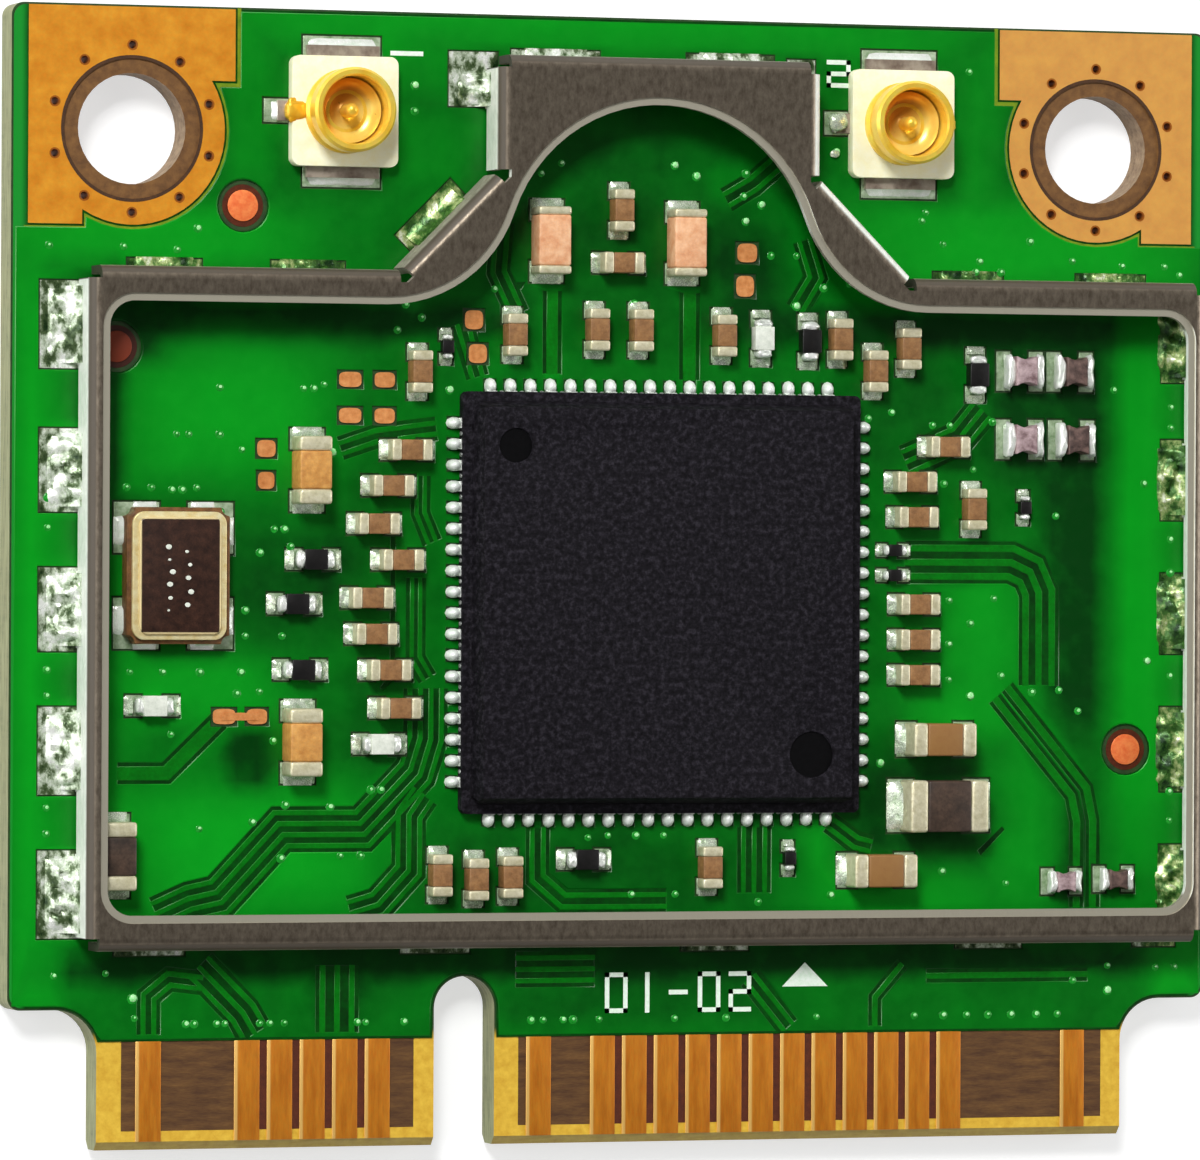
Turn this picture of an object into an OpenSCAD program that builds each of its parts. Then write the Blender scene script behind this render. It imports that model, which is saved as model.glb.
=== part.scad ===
// Laptop wireless card, half size, with its stamped shield frame and no lid.
// X runs to the right, Y from the edge contacts to the screw holes, Z up from the
// underside. The origin is at the middle of the board's outline, on the lowest plane.
// Everything is in millimetres.

/* [Board] */
// Width of the board
board_w = 30.0; // [29.9:0.1:30.2]
// Length from the contact edge to the far edge
board_l = 26.8; // [26.7:0.1:27.0]
// Thickness over the copper on both faces
board_t = 1.0; // [0.9:0.05:1.1]
// Thickness of the copper on each face
copper_t = 0.04; // [0.035:0.005:0.05]
// Thickness of the green lacquer on each face
mask_t = 0.03; // [0.02:0.005:0.03]
// Gap between the lacquer and a pad standing in its window
mask_gap = 0.05; // [0.03:0.01:0.07]
// Radius of the outer corners
corner_r = 0.3; // [0.2:0.1:0.5]

/* [Edge contacts] */
// Step from the board's side in to the tab's side
tab_step = 2.15; // [2.1:0.05:2.2]
// Length of the tab below the shoulders
tab_l = 3.3; // [3.2:0.05:3.4]
// Radius between the tab and the shoulders
shoulder_r = 1.0; // [0.6:0.1:1.2]
// Pitch of the contacts
contact_pitch = 0.8; // [0.8]
// Width of one contact
contact_w = 0.62; // [0.55:0.01:0.65]
// Distance of the bare contact zone's inner end from the edge
contact_zone = 2.55; // [2.4:0.05:2.7]
// Length of the bevel on the contact edge
bevel = 0.2; // [0.1:0.05:0.25]
// Middle of the key notch, from the board's centre line
notch_x = -3.85; // [-3.95:0.05:-3.8]
// Width of the key notch
notch_w = 1.5; // [1.4:0.05:1.6]
// Depth of the key notch
notch_l = 4.0; // [3.8:0.1:4.2]

/* [Screw holes] */
// Distance of each hole's middle from the side edge and from the far edge
hole_inset = 2.9; // [2.9]
// Radius of each hole
hole_r = 1.3; // [1.25:0.05:1.35]
// Inner radius of the gold land round a hole
land_in_r = 1.67; // [1.6:0.01:1.7]
// Outer radius of the gold land round a hole
land_r = 2.25; // [2.2:0.05:2.3]
// Distance of the land's upper bar above the hole's middle
land_bar = 1.16; // [1.1:0.02:1.2]
// Reach of the land's upper bar to each side of the hole's middle
land_run = 2.5; // [2.4:0.05:2.55]
// Width of the land's strip along the board's side
land_strip = 1.3; // [1.2:0.05:1.35]
// Bare edge between the land and the board's far edge
land_edge = 0.05; // [0.03:0.01:0.1]
// Number of small plated holes round each screw hole
ring_vias = 10; // [8:1:12]
// Bore radius of a small plated hole
via_r = 0.09; // [0.07:0.01:0.1]

/* [Shield frame] */
// Height of the frame above the pads
shield_h = 1.15; // [1.1:0.05:1.25]
// Thickness of the sheet
sheet_t = 0.2; // [0.15:0.05:0.2]
// Outside radius of the bends
bend_r = 0.3; // [0.25:0.05:0.35]
// Distance of the side walls from the board's sides, were the frame in the middle
frame_side = 1.0; // [0.95:0.05:1.1]
// Distance of the front wall from the contact edge
frame_up = 4.7; // [4.6:0.05:4.8]
// Distance of the back walls beside the crown from the far edge
shoulder_down = 6.13; // [6.0:0.01:6.2]
// Distance of the crown's wall from the far edge
crown_down = 1.0; // [0.9:0.05:1.1]
// Half of the crown's width
crown_x = 4.05; // [4.0:0.05:4.1]
// Run of each sloping wall beside the crown
crown_slope = 2.35; // [2.3:0.05:2.4]
// Width of the flange at the sides
flange_side = 0.5; // [0.45:0.05:0.6]
// Width of the flange at the front
flange_front = 0.83; // [0.8:0.01:0.9]
// Width of the flange at the back
flange_back = 0.82; // [0.8:0.01:0.9]
// Width of the flange at the crown
flange_crown = 1.12; // [1.1:0.01:1.2]
// Radius of the window's corners
open_r = 0.6; // [0.5:0.1:0.7]
// Middle of the frame, from the board's centre line
frame_x = 0.6; // [0.55:0.05:0.65]
// Radius of the arch in the flange
arch_r = 3.86; // [3.8:0.02:3.9]
// Radius of the flowing corner beside the arch
arch_blend_r = 3.3; // [3.2:0.1:3.4]
// Width of the pressed rim along the opening
rim_w = 0.18; // [0.1:0.02:0.2]
// Depth of the pressed rim
rim_drop = 0.05; // [0.03:0.01:0.06]
// Clearance under the walls between the feet
foot_gap = 0.12; // [0.08:0.02:0.15]

/* [Radio chip] */
// Width of the square chip
chip_w = 10.0; // [10.0]
// Width of the metal pad under the chip
paddle_w = 5.4; // [5.2:0.1:5.6]
// Set-back of the chip's cap, both sides together
cap_set = 0.44; // [0.4:0.02:0.5]
// Height of the chip
chip_h = 0.85; // [0.8:0.05:0.9]
// Distance of each side's first lead from the chip's corner
lead_margin = 0.75; // [0.7:0.05:0.8]
// Pitch of the leads
lead_pitch = 0.5; // [0.5]
// Width of one lead
lead_w = 0.24; // [0.2:0.01:0.26]

/* [Antenna sockets] */
// Distance of each socket from the board's centre line
socket_x = 7.0; // [6.9:0.05:7.1]
// Distance of each socket from the far edge
socket_inset = 2.4; // [2.3:0.05:2.5]
// Height of the sockets above the pads
socket_h = 1.25; // [1.2:0.05:1.3]
// Outside radius of the socket's ring
socket_r = 1.0; // [0.95:0.01:1.0]

/* [Output] */
// Which piece to draw

/* [Hidden] */
$fn = 48;
leads_side = floor((chip_w - 2 * lead_margin) / lead_pitch + 0.001) + 1;
edge_y = -board_l / 2;
far_y = board_l / 2;
tab_y = edge_y + tab_l;
zone_y = edge_y + contact_zone;
tab_w = board_w - 2 * tab_step;
hole_x = board_w / 2 - hole_inset;
hole_y = far_y - hole_inset;
lam_lo = copper_t;
lam_hi = board_t - copper_t;
lam_t = lam_hi - lam_lo;
seat = board_t;
via_wall = 0.04;
ring_r = (land_in_r + land_r) / 2;
flange_z = 0.2;
socket_y = far_y - socket_inset;
frame_top = seat + shield_h;

// Outline of the frame, seen from above, about its own centre line
frame_half = board_w / 2 - frame_side;
frame_lo = edge_y + frame_up;
frame_mid = far_y - shoulder_down;
frame_hi = far_y - crown_down;
step_x = crown_x + crown_slope;
step_y = frame_mid + crown_slope;
crown_foot_y = frame_hi - 0.55;
open_half = frame_half - flange_side;
open_lo = frame_lo + flange_front;
open_hi = frame_mid - flange_back;
arch_y = frame_hi - flange_crown - arch_r;
blend_y = open_hi + arch_blend_r;
blend_x = sqrt(pow(arch_r + arch_blend_r, 2) - pow(blend_y - arch_y, 2));

// The chip's middle, a little off the middle of the frame's window
chip_shift = [0.35, 0.165];
chip_c = [frame_x + chip_shift[0], (frame_lo + frame_mid) / 2 + chip_shift[1]];

// The layout was drawn on these lines: edges, walls and the chip's sides. A part keeps
// its share of the room between the two lines beside it when one of them moves.
lines_x = [
  [-15, -board_w / 2], [-13.4, frame_x - frame_half], [-4.05, chip_c[0] - chip_w / 2],
  [5.95, chip_c[0] + chip_w / 2], [14.6, frame_x + frame_half], [15, board_w / 2]
];
lines_y = [
  [-13.4, edge_y], [-8.7, frame_lo], [-5.55, chip_c[1] - chip_w / 2],
  [4.45, chip_c[1] + chip_w / 2], [7.27, frame_mid], [12.4, frame_hi], [13.4, far_y]
];
function at(p) = [lookup(p[0], lines_x), lookup(p[1], lines_y)];
crystal_s = [2.5, 3.2];
crystal_c = at([-11.05, 0.05]);

// Sizes of the small two-ended parts: length, width, height, end length
small_s = [1.0, 0.5, 0.5, 0.24];
flat_s = [1.0, 0.5, 0.35, 0.22];
medium_s = [1.6, 0.8, 0.8, 0.35];
large_s = [2.0, 1.25, 0.85, 0.45];
tiny_s = [0.6, 0.3, 0.25, 0.15];
// Pads for them: length, width, distance of the pad's middle from the part's middle
small_p = [0.38, 0.5, 0.46];
medium_p = [0.5, 0.84, 0.73];
large_p = [0.66, 1.28, 0.97];
tiny_p = [0.26, 0.32, 0.28];
coil_p = [0.36, 0.96, 0.42];
small_coil_p = [0.32, 0.64, 0.37];

// Places of the parts: x, y and turn
small_caps = [
  [-5.35, 3.05, 0], [-5.8, 2.2, 0], [-6.15, 1.3, 0], [-5.55, 0.45, 0],
  [-6.3, -0.45, 0], [-6.2, -1.3, 0], [-5.85, -2.15, 0], [-5.6, -3.05, 0],
  [8.2, 3.25, 0], [7.35, 2.4, 0], [7.4, 1.55, 0],
  [7.45, -0.55, 0], [7.45, -1.4, 0], [7.45, -2.25, 0],
  [8.9, 1.75, 90], [-5.1, 4.9, 90], [-2.75, 5.8, 90], [-0.7, 5.95, 90], [0.4, 5.95, 90],
  [2.5, 5.85, 90], [5.45, 5.8, 90], [6.35, 5.05, 90], [7.2, 5.6, 90],
  [-0.1, 8.8, 90], [-0.1, 7.55, 0],
  [-4.55, -7.0, 90], [-3.65, -7.1, 90], [-2.8, -7.05, 90], [2.2, -6.85, 90]
];
black_resistors = [
  [4.7, 5.75, 90], [9.0, 5.0, 90], [-7.65, 0.45, 0],
  [-8.1, -0.6, 0], [-7.95, -2.15, 0], [-0.9, -6.65, 0]
];
pale_resistors = [[-6.0, -3.9, 0], [3.5, 5.8, 90], [-11.55, -3.0, 0]];
tiny_parts = [[-4.4, 5.5, 90], [6.9, 0.75, 0], [6.9, 0.15, 0], [4.25, -6.65, 90], [10.25, 1.8, 90]];
medium_caps = [[-7.8, 2.55, 90], [-8.0, -3.85, 90], [8.0, -3.8, 0], [6.5, -6.95, 0]];
dark_cap = [[-12.5, -6.5, 90]];
filters = [[-1.9, 8.05, 90], [1.5, 8.05, 90]];
large_cap = [[8.1, -5.4, 0]];
coils = [[10.15, 5.1, 0], [11.45, 5.1, 0], [10.15, 3.45, 0], [11.5, 3.45, 0]];
small_coils = [[11.3, -7.25, 0], [12.65, -7.2, 0]];
coil_s = [1.1, 1.0, 0.55];
small_coil_s = [0.95, 0.66, 0.4];
// Pads left empty: x, y, width, height
empty_pads = [
  [-6.75, 4.7, 0.55, 0.36], [-5.9, 4.7, 0.5, 0.36], [-6.75, 3.85, 0.55, 0.36], [-5.9, 3.85, 0.5, 0.36],
  [-8.8, 3.05, 0.45, 0.4], [-8.8, 2.3, 0.4, 0.4], [-9.8, -3.25, 0.55, 0.36], [-9.0, -3.25, 0.5, 0.36],
  [-3.7, 6.15, 0.45, 0.45], [-3.6, 5.35, 0.45, 0.45], [3.15, 7.85, 0.5, 0.45], [3.1, 7.05, 0.45, 0.5]
];
fiducials = [[-9.4, 8.75], [12.95, -4.05], [-12.45, 5.4]];
fid_r = 0.37;
fid_window_r = 0.6;

// Feet under each wall: place of the middle along the wall, and length
side_share = [[0.0814, 1.9], [0.2912, 1.9], [0.4978, 1.8], [0.7013, 1.8], [0.9142, 1.9]];
side_feet = [for (f = side_share) [frame_lo + f[0] * (frame_mid - frame_lo), f[1]]];
back_share = [[-0.85, 1.6], [-0.6, 1.6], [0.586, 1.6], [0.85, 1.6]];
back_feet = [for (f = back_share) [f[0] * frame_half, f[1]]];
low_share = [[-0.871, 1.6], [-0.371, 1.6], [0.129, 1.6], [0.629, 1.6], [0.936, 1.0]];
low_feet = [for (f = low_share) [f[0] * frame_half, f[1]]];
crown_share = [[-0.568, 1.8], [0.519, 1.8]];
crown_feet = [for (f = crown_share) [f[0] * crown_x, f[1]]];

/* Shared shapes */

module soft_rect(w, h, r) {
  square([w - 2 * r, h], center = true);
  square([w, h - 2 * r], center = true);
  for (x = [-1, 1], y = [-1, 1]) {
    translate([x * (w / 2 - r), y * (h / 2 - r)]) circle(r = r);
  }
}

module holes_at() {
  for (s = [-1, 1]) {
    translate([s * hole_x, hole_y]) children();
  }
}

module ring_via_spots(r) {
  holes_at() {
    for (k = [0 : ring_vias - 1]) {
      rotate(-90 + k * 360 / ring_vias) translate([ring_r, 0]) circle(r = r, $fn = 24);
    }
  }
}

// Outline of the board: body, contact tab, key notch and the radii at the shoulders
module board_outline(inset = 0) {
  difference() {
    union() {
      translate([0, (tab_y + far_y) / 2]) {
        soft_rect(board_w - 2 * inset, far_y - tab_y - 2 * inset, corner_r);
      }
      translate([-tab_w / 2 + inset, edge_y]) square([tab_w - 2 * inset, tab_l + 1]);
      for (s = [-1, 1]) {
        shoulder(s, inset);
      }
    }
    translate([notch_x - notch_w / 2 - inset, edge_y - 1]) {
      square([notch_w + 2 * inset, 1 + notch_l - notch_w / 2]);
    }
    translate([notch_x, edge_y + notch_l - notch_w / 2]) circle(r = notch_w / 2 + inset);
  }
}

module shoulder(s, inset) {
  r = shoulder_r + inset;
  cx = s * (tab_w / 2 + shoulder_r);
  difference() {
    translate([s * (tab_w / 2 + shoulder_r / 2 - inset / 2 - 0.05), tab_y - shoulder_r / 2 + inset / 2 + 0.05]) {
      square([shoulder_r - inset + 0.1, shoulder_r - inset + 0.1], center = true);
    }
    translate([cx, tab_y - shoulder_r]) circle(r = r);
  }
}

// Contacts: 1 to 15 left of the notch and 17 to 51 right of it on the top face
function contact_x(n) = n < 16 ? -11.6 + contact_pitch * (n - 1) / 2 : -2.0 + contact_pitch * (n - 17) / 2;
function on_tab(n) = abs(contact_x(n)) + contact_w / 2 < tab_w / 2;
top_contacts = [1, 7, 9, 11, 13, 15, 17, 21, 23, 25, 27, 29, 31, 33, 35, 37, 39, 41, 43, 51];

module contact(n) {
  translate([contact_x(n) - contact_w / 2, edge_y + bevel]) square([contact_w, contact_zone - bevel]);
}

// Gold land round a screw hole, running out to the board's corner
module land(s) {
  top = far_y - land_edge;
  bar_y = hole_y + land_bar;
  low_y = hole_y - land_r;
  difference() {
    union() {
      translate([s * hole_x, hole_y]) circle(r = land_r);
      translate([s * hole_x, (bar_y + top) / 2]) square([2 * land_run, top - bar_y], center = true);
      translate([s * (hole_x + land_run - land_strip / 2), (low_y + top) / 2]) {
        square([land_strip, top - low_y], center = true);
      }
    }
    translate([s * hole_x, hole_y]) circle(r = land_in_r);
  }
}

module lands(s = [-1, 1]) {
  for (k = s) land(k);
}

module ring_land(s) {
  translate([s * hole_x, hole_y]) {
    difference() {
      circle(r = land_r + 0.35);
      circle(r = land_in_r);
    }
  }
}

module pad_pairs(list, p, g) {
  for (c = list) {
    translate(at(c)) rotate(c[2]) {
      for (s = [-1, 1]) {
        translate([s * p[2], 0]) square([p[0] + 2 * g, p[1] + 2 * g], center = true);
      }
    }
  }
}

module chip_lead_spots(l, w, out) {
  // l is the spot's length along the lead, out the distance of its tip from the middle
  translate(chip_c) {
    for (a = [0 : 90 : 270], k = [0 : leads_side - 1]) {
      rotate(a) translate([out - l / 2, (k - (leads_side - 1) / 2) * lead_pitch]) {
        square([l, w], center = true);
      }
    }
  }
}

module crystal_pad_spots(g) {
  translate(crystal_c) {
    for (x = [-1, 1], y = [-1, 1]) {
      translate([x * 0.9, y * 1.12]) square([1.1 + 2 * g, 1.2 + 2 * g], center = true);
    }
  }
}

module socket_pad_spots(g) {
  for (s = [-1, 1]) {
    translate([s * socket_x, socket_y]) {
      for (y = [-1, 1]) {
        translate([0, y * 1.5]) square([1.9 + 2 * g, 0.56 + 2 * g], center = true);
      }
      translate([-1.6, 0]) square([0.6 + 2 * g, 0.56 + 2 * g], center = true);
    }
  }
}

module empty_pad_spots(g) {
  for (p = empty_pads) {
    translate(at(p)) square([p[2] + 2 * g, p[3] + 2 * g], center = true);
  }
}

module component_pad_spots(g) {
  pad_pairs(small_caps, small_p, g);
  pad_pairs(black_resistors, small_p, g);
  pad_pairs(pale_resistors, small_p, g);
  pad_pairs(tiny_parts, tiny_p, g);
  pad_pairs(medium_caps, medium_p, g);
  pad_pairs(dark_cap, medium_p, g);
  pad_pairs(filters, medium_p, g);
  pad_pairs(large_cap, large_p, g);
  pad_pairs(coils, coil_p, g);
  pad_pairs(small_coils, small_coil_p, g);
  chip_lead_spots(0.55 + g, lead_w + min(g, 0.03) * 2, chip_w / 2 + 0.27 + g);
  translate(chip_c) square(paddle_w + 2 * g, center = true);
  crystal_pad_spots(g);
  socket_pad_spots(g);
}

module shield_pad_spots(g) {
  translate([frame_x, 0]) {
    for (f = side_feet) {
      translate([-frame_half - 0.25, f[0]]) square([1.3 + 2 * g, f[1] + 0.15 + 2 * g], center = true);
      translate([frame_half - 0.2, f[0]]) square([1.1 + 2 * g, f[1] + 0.15 + 2 * g], center = true);
    }
    for (f = back_feet) {
      translate([f[0], frame_mid - 0.05]) square([f[1] + 0.2 + 2 * g, 0.5 + 2 * g], center = true);
    }
    for (f = low_feet) {
      translate([f[0], frame_lo + 0.06]) square([f[1] + 0.1 + 2 * g, 0.4 + 2 * g], center = true);
    }
    for (f = crown_feet) {
      translate([f[0], frame_hi - 0.05]) square([f[1] + 0.4 + 2 * g, 0.46 + 2 * g], center = true);
    }
    translate([-crown_x - 0.3, crown_foot_y]) square([1.2 + 2 * g, 1.3 + 2 * g], center = true);
    translate([crown_x - 0.15, crown_foot_y]) square([0.7 + 2 * g, 1.3 + 2 * g], center = true);
    translate([-(step_x + crown_x) / 2, (frame_mid + step_y) / 2]) rotate(45) {
      translate([0, 0.1]) square([1.9 + 2 * g, 0.8 + 2 * g], center = true);
    }
  }
}

/* Bare board */

module board_laminate() {
  color([0.45, 0.33, 0.12]) difference() {
    translate([0, 0, lam_lo]) linear_extrude(lam_t) {
      difference() {
        board_outline();
        holes_at() circle(r = hole_r);
        ring_via_spots(via_r + via_wall);
      }
    }
    for (m = [0, 1]) {
      translate([0, edge_y, m == 0 ? lam_lo : lam_hi]) rotate([45, 0, 0]) {
        cube([board_w, bevel * sqrt(2), bevel * sqrt(2)], center = true);
      }
    }
  }
}

module solder_mask_top() {
  color([0.0, 0.42, 0.1]) translate([0, 0, lam_hi]) linear_extrude(mask_t) {
    difference() {
      board_outline(0.05);
      translate([-board_w / 2, edge_y - 1]) square([board_w, 1 + contact_zone]);
      lands();
      holes_at() circle(r = land_in_r + 0.2);
      component_pad_spots(mask_gap);
      empty_pad_spots(mask_gap);
      shield_pad_spots(mask_gap);
      for (f = fiducials) translate(at(f)) circle(r = fid_window_r);
    }
  }
}

module solder_mask_bottom() {
  color([0.0, 0.36, 0.09]) translate([0, 0, lam_lo - mask_t]) linear_extrude(mask_t) {
    difference() {
      board_outline(0.05);
      translate([-board_w / 2, edge_y - 1]) square([board_w, 1 + contact_zone]);
      holes_at() circle(r = land_r + 0.35 + mask_gap);
    }
  }
}

module edge_contacts_top() {
  color([0.78, 0.52, 0.2]) translate([0, 0, lam_hi]) linear_extrude(copper_t) {
    for (n = top_contacts) if (on_tab(n)) contact(n);
  }
}

module edge_contacts_bottom() {
  color([0.78, 0.52, 0.2]) linear_extrude(copper_t) {
    for (n = [1 : 2 : 51]) if (on_tab(n)) contact(n);
  }
}

module screw_lands_top() {
  color([0.8, 0.55, 0.18]) translate([0, 0, lam_hi]) linear_extrude(copper_t) {
    difference() {
      lands();
      ring_via_spots(via_r + via_wall);
    }
  }
}

module screw_lands_bottom() {
  color([0.8, 0.55, 0.18]) linear_extrude(copper_t) {
    difference() {
      for (s = [-1, 1]) ring_land(s);
      ring_via_spots(via_r + via_wall);
    }
  }
}

module screw_land_vias() {
  color([0.7, 0.45, 0.15]) linear_extrude(board_t) {
    difference() {
      ring_via_spots(via_r + via_wall);
      ring_via_spots(via_r);
    }
  }
}

module component_pads() {
  color([0.75, 0.78, 0.74]) translate([0, 0, lam_hi]) linear_extrude(copper_t) component_pad_spots(0);
}

module empty_pads() {
  color([0.75, 0.55, 0.32]) translate([0, 0, lam_hi]) linear_extrude(copper_t) empty_pad_spots(0);
}

module fiducial_dots() {
  color([0.86, 0.5, 0.32]) translate([0, 0, lam_hi]) linear_extrude(copper_t) {
    for (f = fiducials) translate(at(f)) circle(r = fid_r);
  }
}

module shield_pads() {
  color([0.78, 0.8, 0.75]) translate([0, 0, lam_hi]) linear_extrude(copper_t) shield_pad_spots(0);
}

/* Stamped shield frame */

// Opening in the flange: a wide window that flows into an arch. g grows it all round.
module flange_opening(g = 0) {
  tx = (arch_r + g) * blend_x / (arch_r + arch_blend_r);
  ty = arch_y + (arch_r + g) * (blend_y - arch_y) / (arch_r + arch_blend_r);
  translate([0, (open_lo + open_hi) / 2]) {
    soft_rect(2 * open_half + 2 * g, open_hi - open_lo + 2 * g, open_r + g);
  }
  translate([0, arch_y]) circle(r = arch_r + g, $fn = 96);
  difference() {
    polygon([
      [-blend_x, open_hi - 0.5], [blend_x, open_hi - 0.5], [blend_x, open_hi + g],
      [tx, ty], [-tx, ty], [-blend_x, open_hi + g]
    ]);
    for (s = [-1, 1]) {
      translate([s * blend_x, blend_y]) circle(r = arch_blend_r - g, $fn = 96);
    }
  }
}

module flange_outline() {
  k = bend_r * tan(22.5);
  w = frame_half - bend_r;
  half = [
    [w, frame_lo + bend_r], [w, frame_mid - bend_r], [step_x - k, frame_mid - bend_r],
    [crown_x - bend_r, step_y - k], [crown_x - bend_r, frame_hi - bend_r]
  ];
  polygon(concat(half, [for (i = [4 : -1 : 0]) [-half[i][0], half[i][1]]]));
}

// Section of a wall: a plate that bends over into the flange, outer face at zero
module wall_section() {
  lo = seat + foot_gap;
  e = 0.03;
  difference() {
    translate([0, lo]) square([bend_r + e, frame_top - lo]);
    difference() {
      translate([-1, frame_top - bend_r]) square([1 + bend_r, bend_r + 1]);
      translate([bend_r, frame_top - bend_r]) circle(r = bend_r);
    }
    translate([sheet_t, lo - 1]) square([bend_r + 1, frame_top - bend_r - lo + 1]);
    translate([bend_r, frame_top - bend_r]) circle(r = bend_r - sheet_t);
    translate([bend_r, lo - 1]) square([bend_r, frame_top - sheet_t - lo + 1]);
  }
}

// A wall runs from a start point in one direction; feet are given by middle and length
module wall(from, turn, length, feet) {
  translate([from[0], from[1], 0]) rotate([0, 0, turn]) {
    rotate([90, 0, 90]) linear_extrude(length) wall_section();
    for (f = feet) {
      translate([f[0] - f[1] / 2, 0, seat]) cube([f[1], sheet_t, foot_gap + 0.1]);
    }
  }
}

module frame_walls() {
  w = frame_half - bend_r;
  g = 0.06;
  slope = (step_x - crown_x) * sqrt(2);
  wall([-w, frame_lo], 0, 2 * w, [for (f = low_feet) [f[0] + w, f[1]]]);
  side = frame_mid - frame_lo - 2 * bend_r;
  wall([frame_half, frame_lo + bend_r], 90, side,
       [for (f = side_feet) [f[0] - frame_lo - bend_r, f[1]]]);
  wall([-frame_half, frame_mid - bend_r], 270, side,
       [for (f = side_feet) [frame_mid - bend_r - f[0], f[1]]]);
  wall([w, frame_mid], 180, w - step_x - g, [for (i = [2, 3]) [w - back_feet[i][0], back_feet[i][1]]]);
  wall([-step_x - g, frame_mid], 180, w - step_x - g,
       [for (i = [0, 1]) [-step_x - g - back_feet[i][0], back_feet[i][1]]]);
  wall([step_x - g, frame_mid + g], 135, slope - 2 * g * sqrt(2), []);
  wall([-crown_x - g, step_y - g], 225, slope - 2 * g * sqrt(2), [[slope / 2 - g, 1.6]]);
  rise = frame_hi - bend_r - step_y - g;
  wall([crown_x, step_y + g], 90, rise, [[crown_foot_y - step_y - g, 1.0]]);
  wall([-crown_x, frame_hi - bend_r], 270, rise, [[0.5, 0.9]]);
  wall([crown_x - bend_r, frame_hi], 180, 2 * (crown_x - bend_r),
       [for (f = crown_feet) [crown_x - bend_r - f[0], f[1]]]);
}

module shield_frame() {
  color([0.5, 0.46, 0.43]) translate([frame_x, 0, 0]) difference() {
    union() {
      frame_walls();
      translate([0, 0, frame_top - sheet_t]) linear_extrude(sheet_t) {
        difference() {
          flange_outline();
          flange_opening();
        }
      }
    }
    translate([0, 0, frame_top - rim_drop]) linear_extrude(1) flange_opening(rim_w);
  }
}

// Solder drawn up into a corner: a bar with a hollow quarter-round face
module fillet_bar(r, l) {
  rotate([90, 0, 90]) translate([0, 0, -l / 2]) linear_extrude(l) {
    difference() {
      square(r);
      translate([r, r]) circle(r = r, $fn = 32);
    }
  }
}

module shield_solder() {
  color([0.8, 0.82, 0.76]) translate([frame_x, 0, seat]) {
    for (f = side_feet) {
      translate([-frame_half, f[0], 0]) rotate(90) fillet_bar(0.5, f[1] - 0.1);
      translate([frame_half - sheet_t, f[0], 0]) rotate(90) fillet_bar(0.45, f[1] - 0.1);
    }
    for (f = back_feet) {
      translate([f[0], frame_mid, 0]) fillet_bar(0.18, f[1] - 0.1);
    }
    for (f = crown_feet) {
      translate([f[0], frame_hi, 0]) fillet_bar(0.16, f[1] - 0.1);
    }
    translate([-crown_x, frame_hi - bend_r - 0.5, 0]) rotate(90) fillet_bar(0.45, 0.8);
    translate([-(step_x + crown_x) / 2, (frame_mid + step_y) / 2, 0]) rotate(45) fillet_bar(0.42, 1.6);
  }
}

/* Parts with two ends */

module body_block(s) {
  translate([-s[0] / 2 + s[3], -s[1] / 2 + 0.01, 0]) {
    translate([0, 0, 0.01]) cube([s[0] - 2 * s[3], s[1] - 0.02, s[2] - 0.02]);
  }
}

module end_blocks(s) {
  for (k = [0, 1]) {
    translate([k == 0 ? -s[0] / 2 : s[0] / 2 - s[3], -s[1] / 2, 0]) cube([s[3], s[1], s[2]]);
  }
}

module bodies(list, s) {
  for (c = list) {
    translate(concat(at(c), seat)) rotate([0, 0, c[2]]) body_block(s);
  }
}

module ends(list, s) {
  for (c = list) {
    translate(concat(at(c), seat)) rotate([0, 0, c[2]]) end_blocks(s);
  }
}

module end_solder(list, s, r) {
  for (c = list) {
    translate(concat(at(c), seat)) rotate([0, 0, c[2]]) {
      for (a = [90, 270]) {
        rotate([0, 0, a]) translate([0, -s[0] / 2, 0]) mirror([0, 1, 0]) fillet_bar(r, s[1] - 0.04);
      }
    }
  }
}

module small_capacitor_bodies() {
  color([0.62, 0.47, 0.3]) bodies(small_caps, small_s);
}

module small_capacitor_ends() {
  color([0.82, 0.8, 0.72]) ends(small_caps, small_s);
}

module medium_capacitor_bodies() {
  color([0.68, 0.5, 0.3]) bodies(medium_caps, medium_s);
}

module medium_capacitor_ends() {
  color([0.84, 0.82, 0.74]) ends(medium_caps, medium_s);
}

module large_capacitor_body() {
  color([0.24, 0.2, 0.19]) bodies(large_cap, large_s);
}

module large_capacitor_ends() {
  color([0.8, 0.78, 0.72]) ends(large_cap, large_s);
}

module dark_capacitor_body() {
  color([0.2, 0.16, 0.08]) bodies(dark_cap, medium_s);
}

module dark_capacitor_ends() {
  color([0.8, 0.78, 0.72]) ends(dark_cap, medium_s);
}

module pale_resistor_bodies() {
  color([0.78, 0.8, 0.74]) bodies(pale_resistors, flat_s);
}

module black_resistor_bodies() {
  color([0.03, 0.03, 0.03]) bodies(black_resistors, flat_s);
}

module resistor_ends() {
  color([0.86, 0.88, 0.84]) {
    ends(pale_resistors, flat_s);
    ends(black_resistors, flat_s);
  }
}

module tiny_resistor_bodies() {
  color([0.05, 0.04, 0.04]) bodies(tiny_parts, tiny_s);
}

module tiny_resistor_ends() {
  color([0.88, 0.9, 0.86]) ends(tiny_parts, tiny_s);
}

module filter_bodies() {
  color([0.86, 0.62, 0.48]) bodies(filters, [1.6, 0.82, 0.7, 0.2]);
}

module filter_ends() {
  color([0.9, 0.78, 0.66]) ends(filters, [1.6, 0.82, 0.7, 0.2]);
}

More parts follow.
